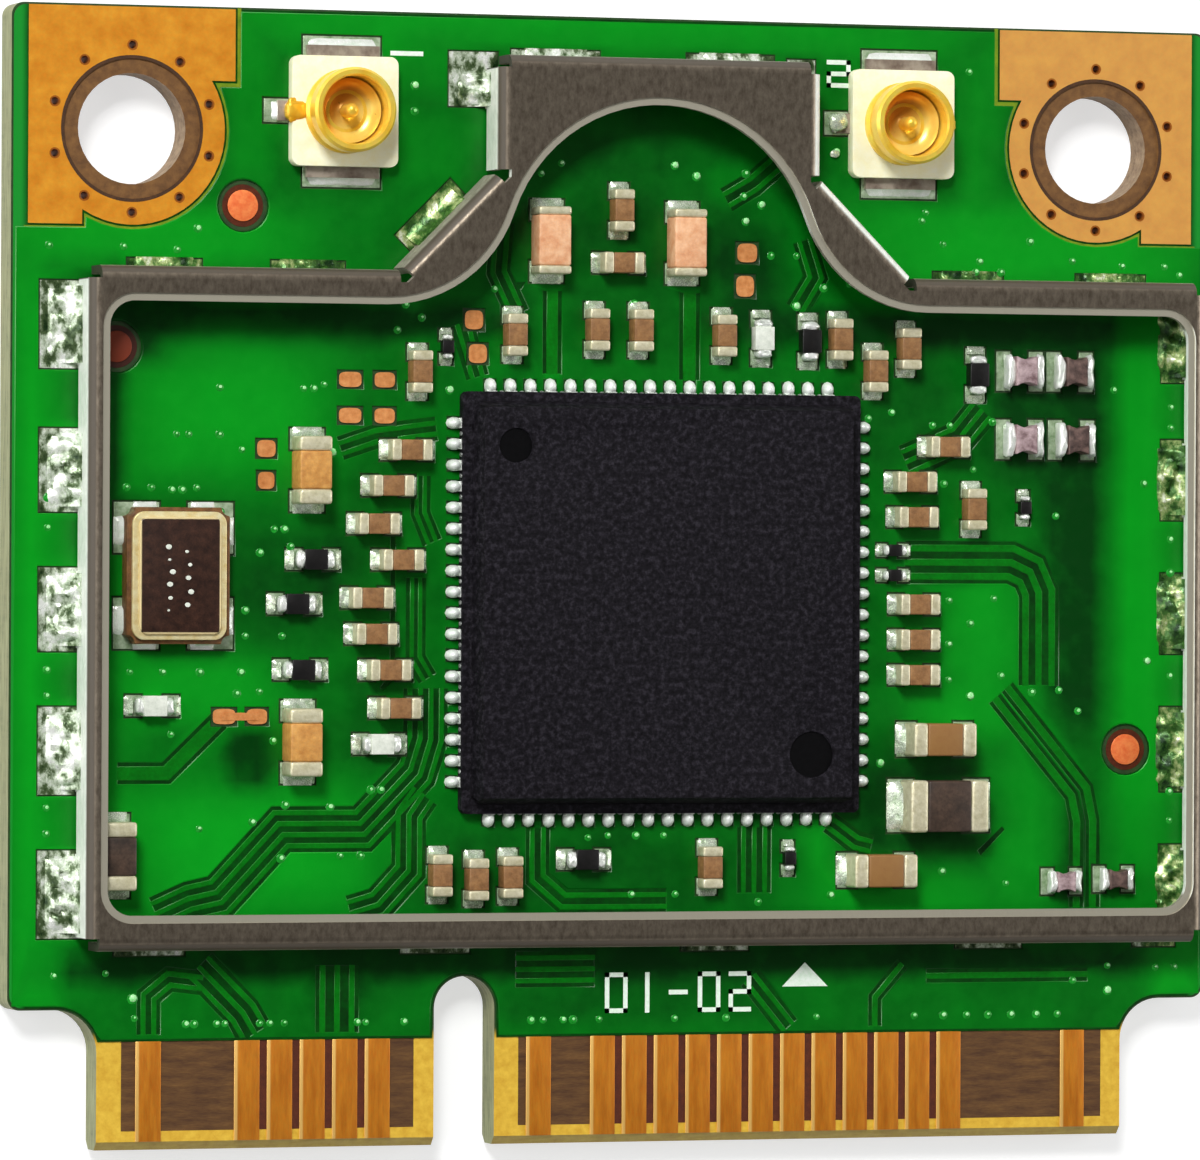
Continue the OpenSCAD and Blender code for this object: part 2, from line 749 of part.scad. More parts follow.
module component_solder() {
  color([0.82, 0.85, 0.8]) {
    end_solder(small_caps, small_s, 0.14);
    end_solder(black_resistors, flat_s, 0.14);
    end_solder(pale_resistors, flat_s, 0.14);
    end_solder(tiny_parts, tiny_s, 0.1);
    end_solder(medium_caps, medium_s, 0.17);
    end_solder(dark_cap, medium_s, 0.17);
    end_solder(filters, [1.6, 0.82, 0.7, 0.2], 0.17);
    end_solder(large_cap, large_s, 0.28);
  }
}

// Drum coils: waisted from above, with a metal end on each side
module drum(s) {
  r = s[0] * 0.42;
  difference() {
    square([s[0], s[1]], center = true);
    for (k = [-1, 1]) {
      translate([0, k * (s[1] * 0.28 + r)]) circle(r = r, $fn = 32);
    }
  }
}

module drum_part(list, s, outer) {
  cut = s[0] * 0.24;
  for (c = list) {
    translate(concat(at(c), seat)) linear_extrude(s[2]) {
      if (outer) {
        difference() {
          drum(s);
          square([2 * cut, 2 * s[1]], center = true);
        }
      } else {
        intersection() {
          drum(s);
          square([2 * cut, 2 * s[1]], center = true);
        }
      }
    }
  }
}

module coil_cores() {
  color([0.3, 0.22, 0.2]) {
    drum_part(coils, coil_s, false);
    drum_part(small_coils, small_coil_s, false);
  }
}

module coil_ends() {
  color([0.85, 0.85, 0.8]) {
    drum_part(coils, coil_s, true);
    drum_part(small_coils, small_coil_s, true);
  }
}

/* Radio chip */

// Block with sides that lean in: a is the foot's width, b the top's width
module drafted_block(a, b, h) {
  intersection() {
    rotate([90, 0, 0]) linear_extrude(a, center = true) {
      polygon([[-a / 2, 0], [a / 2, 0], [b / 2, h], [-b / 2, h]]);
    }
    rotate([90, 0, 90]) linear_extrude(a, center = true) {
      polygon([[-a / 2, 0], [a / 2, 0], [b / 2, h], [-b / 2, h]]);
    }
    linear_extrude(h) soft_rect(a, a, 0.35);
  }
}

module chip_body() {
  cap_h = chip_h - flange_z - 0.1;
  color([0.05, 0.045, 0.05]) difference() {
    union() {
      translate([0, 0, seat]) linear_extrude(flange_z) difference() {
        translate(chip_c) soft_rect(chip_w, chip_w, 0.15);
        chip_lead_spots(0.5, lead_w, chip_w / 2 + 0.05);
        translate(chip_c) square(paddle_w, center = true);
      }
      translate([chip_c[0], chip_c[1], seat + flange_z]) linear_extrude(0.1) soft_rect(chip_w, chip_w, 0.15);
      translate([chip_c[0], chip_c[1], seat + flange_z + 0.1]) drafted_block(chip_w - cap_set, chip_w - cap_set - 0.32, cap_h);
    }
    translate([chip_c[0] - chip_w / 2 + 1.15, chip_c[1] + chip_w / 2 - 1.28, seat + chip_h - 0.05]) {
      cylinder(r = 0.42, h = 1);
    }
    translate([chip_c[0] + chip_w / 2 - 1.4, chip_c[1] - chip_w / 2 + 1.4, seat + chip_h - 0.05]) {
      cylinder(r = 0.56, h = 1);
    }
  }
}

module chip_leads() {
  color([0.86, 0.88, 0.84]) {
    translate([0, 0, seat]) linear_extrude(flange_z) chip_lead_spots(0.47, lead_w, chip_w / 2 + 0.02);
    translate([chip_c[0], chip_c[1], seat]) {
      for (a = [0 : 90 : 270], k = [0 : leads_side - 1]) {
        rotate([0, 0, a]) translate([(k - (leads_side - 1) / 2) * lead_pitch, chip_w / 2 + 0.02, 0]) {
          fillet_bar(0.18, lead_w);
        }
      }
    }
  }
}

module chip_paddle() {
  color([0.8, 0.8, 0.78]) translate([chip_c[0], chip_c[1], seat]) {
    linear_extrude(flange_z) square(paddle_w, center = true);
  }
}

/* Crystal */

module crystal_base() {
  color([0.2, 0.15, 0.11]) translate([crystal_c[0], crystal_c[1], seat]) linear_extrude(0.45) {
    difference() {
      square(crystal_s, center = true);
      for (x = [-1, 1], y = [-1, 1]) {
        translate([x * crystal_s[0] / 2, y * crystal_s[1] / 2]) circle(r = 0.2, $fn = 24);
      }
    }
  }
}

module crystal_seal_ring() {
  color([0.85, 0.74, 0.5]) translate([crystal_c[0], crystal_c[1], seat + 0.45]) linear_extrude(0.12) {
    difference() {
      soft_rect(crystal_s[0] - 0.22, crystal_s[1] - 0.2, 0.3);
      soft_rect(crystal_s[0] - 0.7, crystal_s[1] - 0.7, 0.15);
    }
  }
}

module crystal_lid() {
  color([0.16, 0.1, 0.09]) translate([crystal_c[0], crystal_c[1], seat + 0.57]) {
    linear_extrude(0.08) soft_rect(crystal_s[0] - 0.52, crystal_s[1] - 0.46, 0.2);
  }
}

module crystal_solder() {
  color([0.85, 0.87, 0.8]) translate([crystal_c[0], crystal_c[1], seat]) {
    for (x = [-1, 1], y = [-1, 1]) {
      translate([x * crystal_s[0] / 2, y * 1.05, 0]) {
        rotate([0, 0, x > 0 ? 270 : 90]) fillet_bar(0.18, 0.7);
      }
      translate([x * 0.7, y * crystal_s[1] / 2, 0]) mirror([0, y > 0 ? 0 : 1, 0]) fillet_bar(0.1, 0.6);
    }
  }
}

/* Antenna sockets */

module socket_base() {
  translate([0, 0, seat]) difference() {
    linear_extrude(0.35) soft_rect(2.6, 2.6, 0.2);
    translate([0, 0, -1]) cylinder(r = 0.17, h = 3);
    translate([-1.35, 0, 0.05]) cube([2.7, 0.5, 0.12], center = true);
    for (s = [-1, 1]) {
      translate([0, s * 1.25, 0.07]) cube([1.8, 0.3, 0.16], center = true);
    }
  }
}

// Ring with a groove below its lip, and a floor inside; legs go out to the pads
module socket_shell() {
  z0 = 0.35;
  translate([0, 0, seat]) {
    rotate_extrude($fn = 64) polygon([
      [0.42, z0], [socket_r, z0], [socket_r, z0 + 0.1], [socket_r - 0.07, z0 + 0.17],
      [socket_r - 0.07, z0 + 0.4], [socket_r, z0 + 0.47], [socket_r, socket_h - 0.08],
      [socket_r - 0.06, socket_h], [socket_r - 0.16, socket_h], [socket_r - 0.2, socket_h - 0.06],
      [socket_r - 0.2, z0 + 0.06], [0.42, z0 + 0.06]
    ]);
    for (s = [-1, 1]) {
      translate([0, s * 1.34, 0.07]) cube([1.78, 0.44, 0.14], center = true);
    }
  }
}

module socket_contact() {
  translate([0, 0, seat]) {
    cylinder(r = 0.165, h = socket_h - 0.4, $fn = 32);
    translate([0, 0, socket_h - 0.4]) sphere(r = 0.165, $fn = 32);
    translate([-1.6, -0.24, 0]) cube([1.6, 0.48, 0.1]);
  }
}

module at_socket(s) {
  translate([s * socket_x, socket_y, 0]) children();
}

module left_socket_base() {
  color([0.9, 0.86, 0.7]) at_socket(-1) socket_base();
}

module left_socket_shell() {
  color([0.9, 0.65, 0.2]) at_socket(-1) socket_shell();
}

module left_socket_contact() {
  color([0.9, 0.7, 0.25]) at_socket(-1) socket_contact();
}

module right_socket_base() {
  color([0.9, 0.86, 0.7]) at_socket(1) socket_base();
}

module right_socket_shell() {
  color([0.9, 0.65, 0.2]) at_socket(1) socket_shell();
}

module right_socket_contact() {
  color([0.9, 0.7, 0.25]) at_socket(1) socket_contact();
}

module socket_solder() {
  color([0.84, 0.88, 0.8]) {
    for (x = [-1, 1]) {
      translate([x * socket_x, socket_y, seat]) {
        for (y = [-1, 1]) {
          translate([0, y * 1.56, 0]) mirror([0, y > 0 ? 0 : 1, 0]) fillet_bar(0.14, 1.7);
        }
        translate([-1.6, 0, 0]) rotate([0, 0, 90]) fillet_bar(0.1, 0.44);
      }
    }
  }
}

/* What is drawn */

board_laminate();
solder_mask_top();
solder_mask_bottom();
edge_contacts_top();
edge_contacts_bottom();
screw_lands_top();
screw_lands_bottom();
screw_land_vias();
component_pads();
empty_pads();
fiducial_dots();
shield_pads();
shield_frame();
shield_solder();
component_solder();
chip_body();
chip_leads();
chip_paddle();
crystal_base();
crystal_seal_ring();
crystal_lid();
crystal_solder();
left_socket_base();
left_socket_shell();
left_socket_contact();
right_socket_base();
right_socket_shell();
right_socket_contact();
socket_solder();
small_capacitor_bodies();
small_capacitor_ends();
medium_capacitor_bodies();
medium_capacitor_ends();
large_capacitor_body();
large_capacitor_ends();
dark_capacitor_body();
dark_capacitor_ends();
pale_resistor_bodies();
black_resistor_bodies();
resistor_ends();
tiny_resistor_bodies();
tiny_resistor_ends();
filter_bodies();
filter_ends();
coil_cores();
coil_ends();
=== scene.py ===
import math
import random

import bmesh
import bpy
from mathutils import Matrix, Vector, geometry, noise


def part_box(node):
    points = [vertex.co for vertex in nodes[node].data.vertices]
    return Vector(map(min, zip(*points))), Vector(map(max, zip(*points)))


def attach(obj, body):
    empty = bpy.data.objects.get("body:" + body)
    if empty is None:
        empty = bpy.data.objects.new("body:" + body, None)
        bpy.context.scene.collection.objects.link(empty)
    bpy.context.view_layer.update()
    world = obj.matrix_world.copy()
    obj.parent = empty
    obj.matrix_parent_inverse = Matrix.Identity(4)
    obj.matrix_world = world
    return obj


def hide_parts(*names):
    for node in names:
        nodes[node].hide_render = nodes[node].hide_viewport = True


MM = 0.001
BOARD_TOP = 1.0
HOLE_X, HOLE_Y = 12.1, 10.5
CHIP_X, CHIP_Y = 0.95, -0.55
LEADS, LEAD_PITCH = 18, 0.5
TAB_TOP, TAB_LOW = -10.8, -12.95
VIA_ROW = -10.25
FIELD_TOP, LINE_TOP, FIELD_LOW = 1.006, 1.004, 0.9895
INK = (1.014, 0.008)
PEN = 0.11
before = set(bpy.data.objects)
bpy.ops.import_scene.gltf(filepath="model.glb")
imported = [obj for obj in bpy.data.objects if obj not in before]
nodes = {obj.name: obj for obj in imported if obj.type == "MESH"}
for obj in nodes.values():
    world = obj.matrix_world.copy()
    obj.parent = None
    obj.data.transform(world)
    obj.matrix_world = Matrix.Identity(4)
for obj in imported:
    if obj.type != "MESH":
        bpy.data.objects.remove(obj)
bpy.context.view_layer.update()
scene = bpy.context.scene
scene.view_settings.view_transform = "Standard"
rng = random.Random(7)

# Camera: fitted to the contacts, holes and chip leads in the photograph
FOCAL_PX, PHOTO_PX = 8540.9, 1200
WIDER = 0.994
tilt = [math.radians(a) for a in (-0.029, 18.347, -0.289)]
turn = Matrix.Rotation(tilt[2], 4, "Z") @ Matrix.Rotation(tilt[1], 4, "Y") @ Matrix.Rotation(tilt[0], 4, "X")
shift = Matrix.Translation(Vector((0.4548, -0.0751, -202.292)) * MM)
lift = Matrix.Translation(Vector((0.0, -0.152, 1.0)) * MM)
cam = bpy.data.cameras.new("camera")
cam.sensor_fit = "HORIZONTAL"
cam.sensor_width = 36.0
cam.lens = WIDER * FOCAL_PX / PHOTO_PX * cam.sensor_width
cam.shift_x = -0.0015
cam.shift_y = 0.0028
cam.clip_start = 0.005
cam.clip_end = 10.0
cam_obj = bpy.data.objects.new("camera", cam)
scene.collection.objects.link(cam_obj)
cam_obj.matrix_world = lift @ (shift @ turn).inverted()
scene.camera = cam_obj


def area_light(name, spot, size, power):
    lamp = bpy.data.lights.new(name, "AREA")
    lamp.shape = "RECTANGLE"
    lamp.size = size[0]
    lamp.size_y = size[1]
    lamp.energy = power
    o = bpy.data.objects.new(name, lamp)
    scene.collection.objects.link(o)
    o.location = spot
    o.rotation_euler = (-Vector(spot)).to_track_quat("-Z", "Y").to_euler()


area_light("light_key", (-0.17, 0.25, 0.34), (0.12, 0.12), 1.75)
area_light("light_left", (-0.38, 0.06, 0.14), (0.24, 0.4), 0.75)
area_light("light_right", (0.38, 0.04, 0.13), (0.24, 0.4), 0.75)

world = bpy.data.worlds.new("world")
world.use_nodes = True
scene.world = world
wt = world.node_tree
back = wt.nodes["Background"]
coord = wt.nodes.new("ShaderNodeTexCoord")
split = wt.nodes.new("ShaderNodeSeparateXYZ")
ramp = wt.nodes.new("ShaderNodeValToRGB")
wt.links.new(coord.outputs["Generated"], split.inputs[0])
wt.links.new(split.outputs["Z"], ramp.inputs["Fac"])
wt.links.new(ramp.outputs["Color"], back.inputs["Color"])
ramp.color_ramp.elements[0].position = 0.3
ramp.color_ramp.elements[0].color = (0.46, 0.46, 0.46, 1)
ramp.color_ramp.elements[1].position = 0.8
ramp.color_ramp.elements[1].color = (0.06, 0.06, 0.06, 1)
back.inputs["Strength"].default_value = 1.0


class Mat:
    """A node material: small helpers keep each recipe to a few lines."""

    def __init__(self, name, rough=0.5, metal=0.0):
        self.m = bpy.data.materials.new(name)
        self.m.use_nodes = True
        self.t = self.m.node_tree
        self.p = self.t.nodes["Principled BSDF"]
        self.p.inputs["Roughness"].default_value = rough
        self.p.inputs["Metallic"].default_value = metal
        self.at = self.t.nodes.new("ShaderNodeTexCoord").outputs["Object"]

    def put(self, socket, value):
        if isinstance(value, bpy.types.NodeSocket):
            self.t.links.new(value, socket)
        elif isinstance(value, tuple):
            socket.default_value = (*value, 1.0)
        else:
            socket.default_value = value

    def math(self, op, a, b=0.0, clamp=False):
        n = self.t.nodes.new("ShaderNodeMath")
        n.operation = op
        n.use_clamp = clamp
        self.put(n.inputs[0], a)
        self.put(n.inputs[1], b)
        return n.outputs[0]

    def add(self, a, b):
        return self.math("ADD", a, b)

    def sub(self, a, b):
        return self.math("SUBTRACT", a, b)

    def mul(self, a, b):
        return self.math("MULTIPLY", a, b)

    def most(self, a, b):
        return self.math("MAXIMUM", a, b)

    def least(self, a, b):
        return self.math("MINIMUM", a, b)

    def size(self, a):
        return self.math("ABSOLUTE", a)

    def apart(self, x, y, cx, cy):
        """The square of the distance from a line that stands at cx, cy."""
        return self.add(*[self.math("POWER", self.sub(a, c), 2.0) for a, c in ((x, cx), (y, cy))])

    def normal(self, kind):
        geo = self.t.nodes.new("ShaderNodeNewGeometry")
        n = self.t.nodes.new("ShaderNodeSeparateXYZ")
        self.t.links.new(geo.outputs[kind], n.inputs[0])
        return n.outputs

    def xyz(self):
        n = self.t.nodes.new("ShaderNodeSeparateXYZ")
        self.t.links.new(self.at, n.inputs[0])
        return [self.mul(o, 1000.0) for o in n.outputs]

    def noise(self, per_mm, detail=3.0, rough=0.55, stretch=(1, 1, 1)):
        mp = self.t.nodes.new("ShaderNodeMapping")
        self.t.links.new(self.at, mp.inputs["Vector"])
        mp.inputs["Scale"].default_value = [1000.0 * per_mm * s for s in stretch]
        n = self.t.nodes.new("ShaderNodeTexNoise")
        n.inputs["Detail"].default_value = detail
        n.inputs["Roughness"].default_value = rough
        n.inputs["Scale"].default_value = 1.0
        self.t.links.new(mp.outputs[0], n.inputs["Vector"])
        return n.outputs[0]

    def ramp(self, value, stops):
        n = self.t.nodes.new("ShaderNodeValToRGB")
        e = n.color_ramp.elements
        while len(e) < len(stops):
            e.new(0.5)
        for el, (pos, col) in zip(e, stops):
            el.position = pos
            el.color = (*col, 1.0)
        self.t.links.new(value, n.inputs["Fac"])
        return n.outputs["Color"]

    def tones(self, value, *stops):
        """A ramp from sRGB stops: place, red, green, blue."""
        return self.ramp(value, [(at, rgb(*c)) for at, *c in stops])

    def step(self, value, lo, hi):
        n = self.t.nodes.new("ShaderNodeMapRange")
        n.interpolation_type = "SMOOTHSTEP"
        self.put(n.inputs["Value"], value)
        n.inputs["From Min"].default_value = lo
        n.inputs["From Max"].default_value = hi
        return n.outputs["Result"]

    def mix(self, fac, a, b, mode="MIX"):
        n = self.t.nodes.new("ShaderNodeMix")
        n.data_type = "RGBA"
        n.blend_type = mode
        self.put(n.inputs["Factor"], fac)
        for side, value in (("A", a), ("B", b)):
            self.put([s for s in n.inputs if s.name == side and s.type == "RGBA"][0], value)
        return [s for s in n.outputs if s.type == "RGBA"][0]

    def color(self, value):
        self.put(self.p.inputs["Base Color"], value)

    def tint(self, share, value):
        """Mix a colour over the one that is there."""
        self.color(self.mix(share, self.p.inputs["Base Color"].links[0].from_socket, value))

    def rough(self, value, lo, hi):
        n = self.t.nodes.new("ShaderNodeMapRange")
        self.put(n.inputs["Value"], value)
        n.inputs["To Min"].default_value = lo
        n.inputs["To Max"].default_value = hi
        self.t.links.new(n.outputs["Result"], self.p.inputs["Roughness"])

    def bump(self, value, height_mm):
        n = self.t.nodes.new("ShaderNodeBump")
        n.inputs["Strength"].default_value = 1.0
        n.inputs["Distance"].default_value = height_mm * MM
        self.t.links.new(value, n.inputs["Height"])
        self.t.links.new(n.outputs[0], self.p.inputs["Normal"])


def rgb(r, g, b):
    """An sRGB colour of 0 to 255 as the linear values a shader takes."""
    return tuple((c / 255 / 12.92) if c <= 10 else ((c / 255 + 0.055) / 1.055) ** 2.4 for c in (r, g, b))


M = {}


def plain(name, dark, light, per_mm, rough, metal=0.0, bump=0.01, stretch=(1, 1, 1), spec=0.5):
    """Two close colours through noise, with roughness and bump from the same grain."""
    m = M[name] = Mat(name, metal=metal)
    dark, light = rgb(*dark), rgb(*light)
    n = m.noise(per_mm, 4.0, 0.6, stretch)
    fine = m.noise(per_mm * 6, 2.0, 0.5, stretch)
    m.color(m.mix(fine, m.ramp(n, [(0.3, dark), (0.7, light)]), light, "SOFT_LIGHT"))
    m.rough(fine, *rough)
    m.bump(n, bump)
    m.p.inputs["Specular IOR Level"].default_value = spec


plain("laminate", (84, 62, 30), (110, 84, 44), 5.0, (0.5, 0.7), bump=0.006)
plain("lacquer", (0, 62, 10), (0, 94, 17), 1.2, (0.32, 0.45), bump=0.004, spec=0.2)
plain("pour", (0, 128, 20), (6, 152, 28), 0.6, (0.28, 0.4), bump=0.004, spec=0.2)
plain("trace", (1, 112, 20), (6, 134, 26), 2.0, (0.28, 0.4), bump=0.003, spec=0.25)
plain("via", (14, 122, 34), (50, 170, 66), 9.0, (0.2, 0.35), bump=0.004)
# Painted highlight: the pale middles of the covered vias
plain("via_glint", (110, 214, 118), (196, 246, 190), 9.0, (0.2, 0.35), bump=0.004)
plain("contact", (186, 120, 34), (222, 154, 54), 6.0, (0.3, 0.5), 0.45, 0.004, (1, 0.15, 1))
plain("land", (204, 136, 26), (232, 168, 58), 2.0, (0.35, 0.55), 0.3, 0.006)
plain("via_gold", (150, 92, 26), (190, 125, 45), 8.0, (0.35, 0.55), 0.5, 0.004)
plain("pad", (112, 140, 100), (196, 210, 186), 5.0, (0.3, 0.5), 0.4, 0.012)
plain("copper", (196, 130, 76), (234, 172, 118), 6.0, (0.4, 0.6), 0.3, 0.006)
plain("dot", (228, 112, 62), (250, 156, 98), 6.0, (0.4, 0.6), 0.2, 0.005)
plain("steel", (132, 120, 110), (172, 160, 148), 5.0, (0.3, 0.45), 0.95, 0.008, (1.0, 0.35, 1))
plain("solder", (196, 210, 190), (240, 246, 232), 4.0, (0.2, 0.4), 0.8, 0.02)
plain("chip", (10, 9, 12), (40, 37, 44), 9.0, (0.55, 0.75), bump=0.016, spec=0.1)
plain("lead", (226, 234, 222), (250, 253, 248), 7.0, (0.25, 0.4), 0.45, 0.006)
plain("ceramic", (96, 66, 36), (140, 104, 62), 6.0, (0.4, 0.6), bump=0.006)
plain("seal", (222, 196, 138), (250, 236, 194), 5.0, (0.3, 0.45), 0.4, 0.004)
plain("lid", (52, 32, 24), (86, 58, 45), 5.0, (0.3, 0.45), 0.2, 0.005)
plain("cream", (250, 242, 196), (255, 253, 220), 4.0, (0.4, 0.55), bump=0.005)
plain("socket_gold", (246, 182, 58), (255, 222, 116), 1.3, (0.26, 0.34), 0.4, 0.002)
plain("tan", (128, 96, 62), (166, 131, 90), 7.0, (0.4, 0.6), bump=0.008)
plain("orange_tan", (176, 128, 70), (214, 168, 102), 6.0, (0.4, 0.6), bump=0.008)
plain("end", (190, 184, 152), (228, 222, 196), 7.0, (0.3, 0.5), 0.4, 0.014)
plain("dark_cap", (54, 42, 32), (98, 78, 64), 2.5, (0.4, 0.6), bump=0.008)
plain("pale", (196, 202, 190), (232, 236, 224), 6.0, (0.4, 0.6), bump=0.008)
plain("film", (8, 7, 7), (26, 22, 22), 8.0, (0.3, 0.5), bump=0.005)
plain("salmon", (208, 148, 112), (238, 194, 160), 5.0, (0.35, 0.55), bump=0.006)
plain("coil", (84, 62, 56), (186, 168, 160), 5.0, (0.4, 0.6), bump=0.01)
plain("silk", (206, 232, 206), (236, 250, 236), 8.0, (0.5, 0.7), bump=0.006)
plain("dimple", (4, 4, 6), (12, 11, 14), 9.0, (0.35, 0.5), bump=0.003, spec=0.15)
plain("inner", (82, 52, 22), (122, 90, 46), 4.0, (0.45, 0.65), bump=0.005, stretch=(0.25, 1.4, 1))
plain("lump", (150, 172, 138), (232, 240, 224), 5.0, (0.18, 0.35), 0.5, 0.03)
plain("stub", (110, 112, 112), (176, 180, 176), 9.0, (0.3, 0.5), 0.6, 0.004)
plain("bead", (204, 220, 204), (250, 254, 248), 5.0, (0.3, 0.45), 0.2, 0.01)
plain("gap", (86, 34, 4), (110, 52, 14), 6.0, (0.45, 0.65), bump=0.004)
plain("ring_line", (70, 44, 14), (96, 62, 22), 4.0, (0.45, 0.65), bump=0.004)
plain("dot_ring", (80, 34, 6), (112, 52, 14), 6.0, (0.35, 0.5), bump=0.004)
plain("blob", (212, 226, 208), (255, 255, 250), 6.0, (0.16, 0.32), 0.35, 0.02)
plain("socket_lug", (226, 152, 30), (255, 220, 100), 1.2, (0.24, 0.36), 0.35, 0.004)
plain("funnel", (226, 152, 30), (255, 220, 100), 1.2, (0.24, 0.36), 0.35, 0.002)
plain("halo", (96, 130, 10), (140, 160, 24), 3.0, (0.35, 0.5), bump=0.004)


def fit(x, y):
    """A place read in the board's plane of the photograph, in the frame's millimetres."""
    return x, 1.0055 * y - 0.152


def offset_line(pts, d):
    """A line beside another one, d to its left, with mitred corners."""
    out = []
    for i, p in enumerate(pts):
        a = pts[i - 1] if i else None
        b = pts[i + 1] if i + 1 < len(pts) else None
        dirs = [(q[0] - r[0], q[1] - r[1]) for q, r in ((p, a), (b, p)) if q and r]
        dirs = [(u / math.hypot(u, v), v / math.hypot(u, v)) for u, v in dirs]
        n = (sum(-v for u, v in dirs), sum(u for u, v in dirs))
        k = math.hypot(*n)
        n = (n[0] / k, n[1] / k)
        c = max(0.4, -n[0] * dirs[0][1] + n[1] * dirs[0][0])
        out.append((p[0] + n[0] * d / c, p[1] + n[1] * d / c))
    return out


def ribbon(pts, half):
    return offset_line(pts, -half) + offset_line(pts, half)[::-1]


def disc(x, y, r, n):
    return [(x + r * math.cos(2 * math.pi * k / n), y + r * math.sin(2 * math.pi * k / n)) for k in range(n)]


def area(poly):
    """The area in an outline: negative where it runs clockwise."""
    return sum(a[0] * b[1] - b[0] * a[1] for a, b in zip(poly, poly[1:] + poly[:1]))


def rect(x0, y0, x1, y1):
    return [(x0, y0), (x1, y0), (x1, y1), (x0, y1)]


def middle(lo, hi):
    """The middle of a box, seen from above."""
    return (lo[0] + hi[0]) / 2, (lo[1] + hi[1]) / 2


def welded(node):
    """The mesh of a CAD node with its doubled corners joined."""
    bm = bmesh.new()
    bm.from_mesh(nodes[node].data)
    bmesh.ops.remove_doubles(bm, verts=bm.verts, dist=1e-7)
    return bm


def islands(node):
    """The box and the corners of each separate solid in a CAD node, in millimetres."""
    bm = welded(node)
    seen, boxes = set(), []
    for v in bm.verts:
        if v in seen:
            continue
        group, stack = [], [v]
        seen.add(v)
        while stack:
            w = stack.pop()
            group.append(w.co / MM)
            for e in w.link_edges:
                o = e.other_vert(w)
                if o not in seen:
                    seen.add(o)
                    stack.append(o)
        lo = [min(c[k] for c in group) for k in range(3)]
        hi = [max(c[k] for c in group) for k in range(3)]
        boxes.append((lo, hi, group))
    bm.free()
    return boxes


def hull(points):
    """The convex outline round some points, seen from above."""
    pts = sorted(set((round(p[0], 4), round(p[1], 4)) for p in points))

    def half(ps):
        out = []
        for p in ps:
            while len(out) > 1 and ((out[-1][0] - out[-2][0]) * (p[1] - out[-2][1])
                                    - (out[-1][1] - out[-2][1]) * (p[0] - out[-2][0])) <= 0:
                out.pop()
            out.append(p)
        return out[:-1]

    return half(pts) + half(pts[::-1])


def grow(poly, d):
    """A convex outline grown by d all round."""
    n = len(poly)
    line = [poly[(k - 1) % n] for k in range(n + 2)]
    return offset_line(line, -d)[1:-1]


CONTACT_LEFT = min(lo[0] for lo, hi, g in islands("edge_contacts_top"))

# Laminate: woven glass at the sides, yellow and clear along the tab, dark in the windows
m = M["laminate"]
x, y, z = m.xyz()
weave = m.noise(1.0, 2.0, 0.5, (9.0, 9.0, 1.0))
grain = m.noise(5.0, 4.0, 0.6)
top = m.mix(m.step(y, -10.9, -10.6),
            m.tones(grain, (0.3, 206, 158, 34), (0.7, 228, 188, 60)),
            m.tones(grain, (0.3, 16, 50, 10), (0.7, 40, 74, 22)))
ring = m.apart(m.size(x), y, HOLE_X, HOLE_Y)
near = m.step(ring, 3.3, 3.0)
top = m.mix(near, top, m.tones(grain, (0.3, 92, 58, 22), (0.7, 128, 88, 42)))
layers = m.tones(m.noise(1.0, 2.0, 0.5, (1.5, 1.5, 14.0)), (0.35, 96, 104, 66), (0.65, 160, 166, 122))
side = m.mix(weave, layers, rgb(150, 150, 108))
wall = m.mix(near, side, m.tones(grain, (0.3, 118, 92, 64), (0.7, 176, 150, 118)))
m.color(m.mix(m.step(m.size(m.normal("True Normal")["Z"]), 0.5, 0.9), wall, top))

# Moulded chip: fine speckle of filler in the black
m = M["chip"]
m.color(m.tones(m.noise(7.0, 5.0, 0.75), (0.36, 8, 6, 10), (0.5, 21, 19, 24), (0.64, 45, 42, 49)))

# Sheet metal: painted light by facing. A brown-grey mottled flange and grey upright walls; a pale rim line,
# near-white side walls and a near-white right-facing bend as painted highlights; darker bends as painted
# shade
m = M["steel"]
norm = m.normal("Normal")
up = m.size(norm["Z"])
level = m.math("SQRT", m.most(m.sub(1.0, m.mul(up, up)), 0.002))
across = m.math("DIVIDE", norm["X"], level)
x, y, z = m.xyz()
spots = m.noise(7.0, 5.0, 0.7, (1.0, 0.5, 1.0))
# Painted highlight: a pale line along the pressed rim
rim = m.mul(m.step(z, 2.112, 2.1), m.step(z, 2.03, 2.06))
# Painted shade: darker bends; the upright walls take a grey tone by their facing
bend = m.step(up, 0.97, 0.85)
upright = m.step(up, 0.45, 0.15)
tone = m.tones(spots, (0.3, 112, 100, 86), (0.52, 142, 130, 114), (0.7, 160, 148, 130))
tone = m.mix(rim, tone, rgb(204, 198, 178))
tone = m.mix(bend, tone, rgb(84, 76, 65))
tone = m.mix(upright, tone,
             m.tones(spots, (0.3, 128, 122, 108), (0.6, 164, 158, 144), (0.75, 206, 202, 188)))
# Painted highlight: walls that face sideways and the bend that faces right go near white
side = m.mul(upright, m.step(m.size(across), 0.85, 0.95))
lit_right_bend = m.mul(m.mul(bend, m.step(across, 0.6, 0.68)), m.step(x, 13.0, 12.8))
tone = m.mix(m.most(side, lit_right_bend), tone,
             m.tones(spots, (0.25, 222, 228, 218), (0.7, 252, 254, 248)))
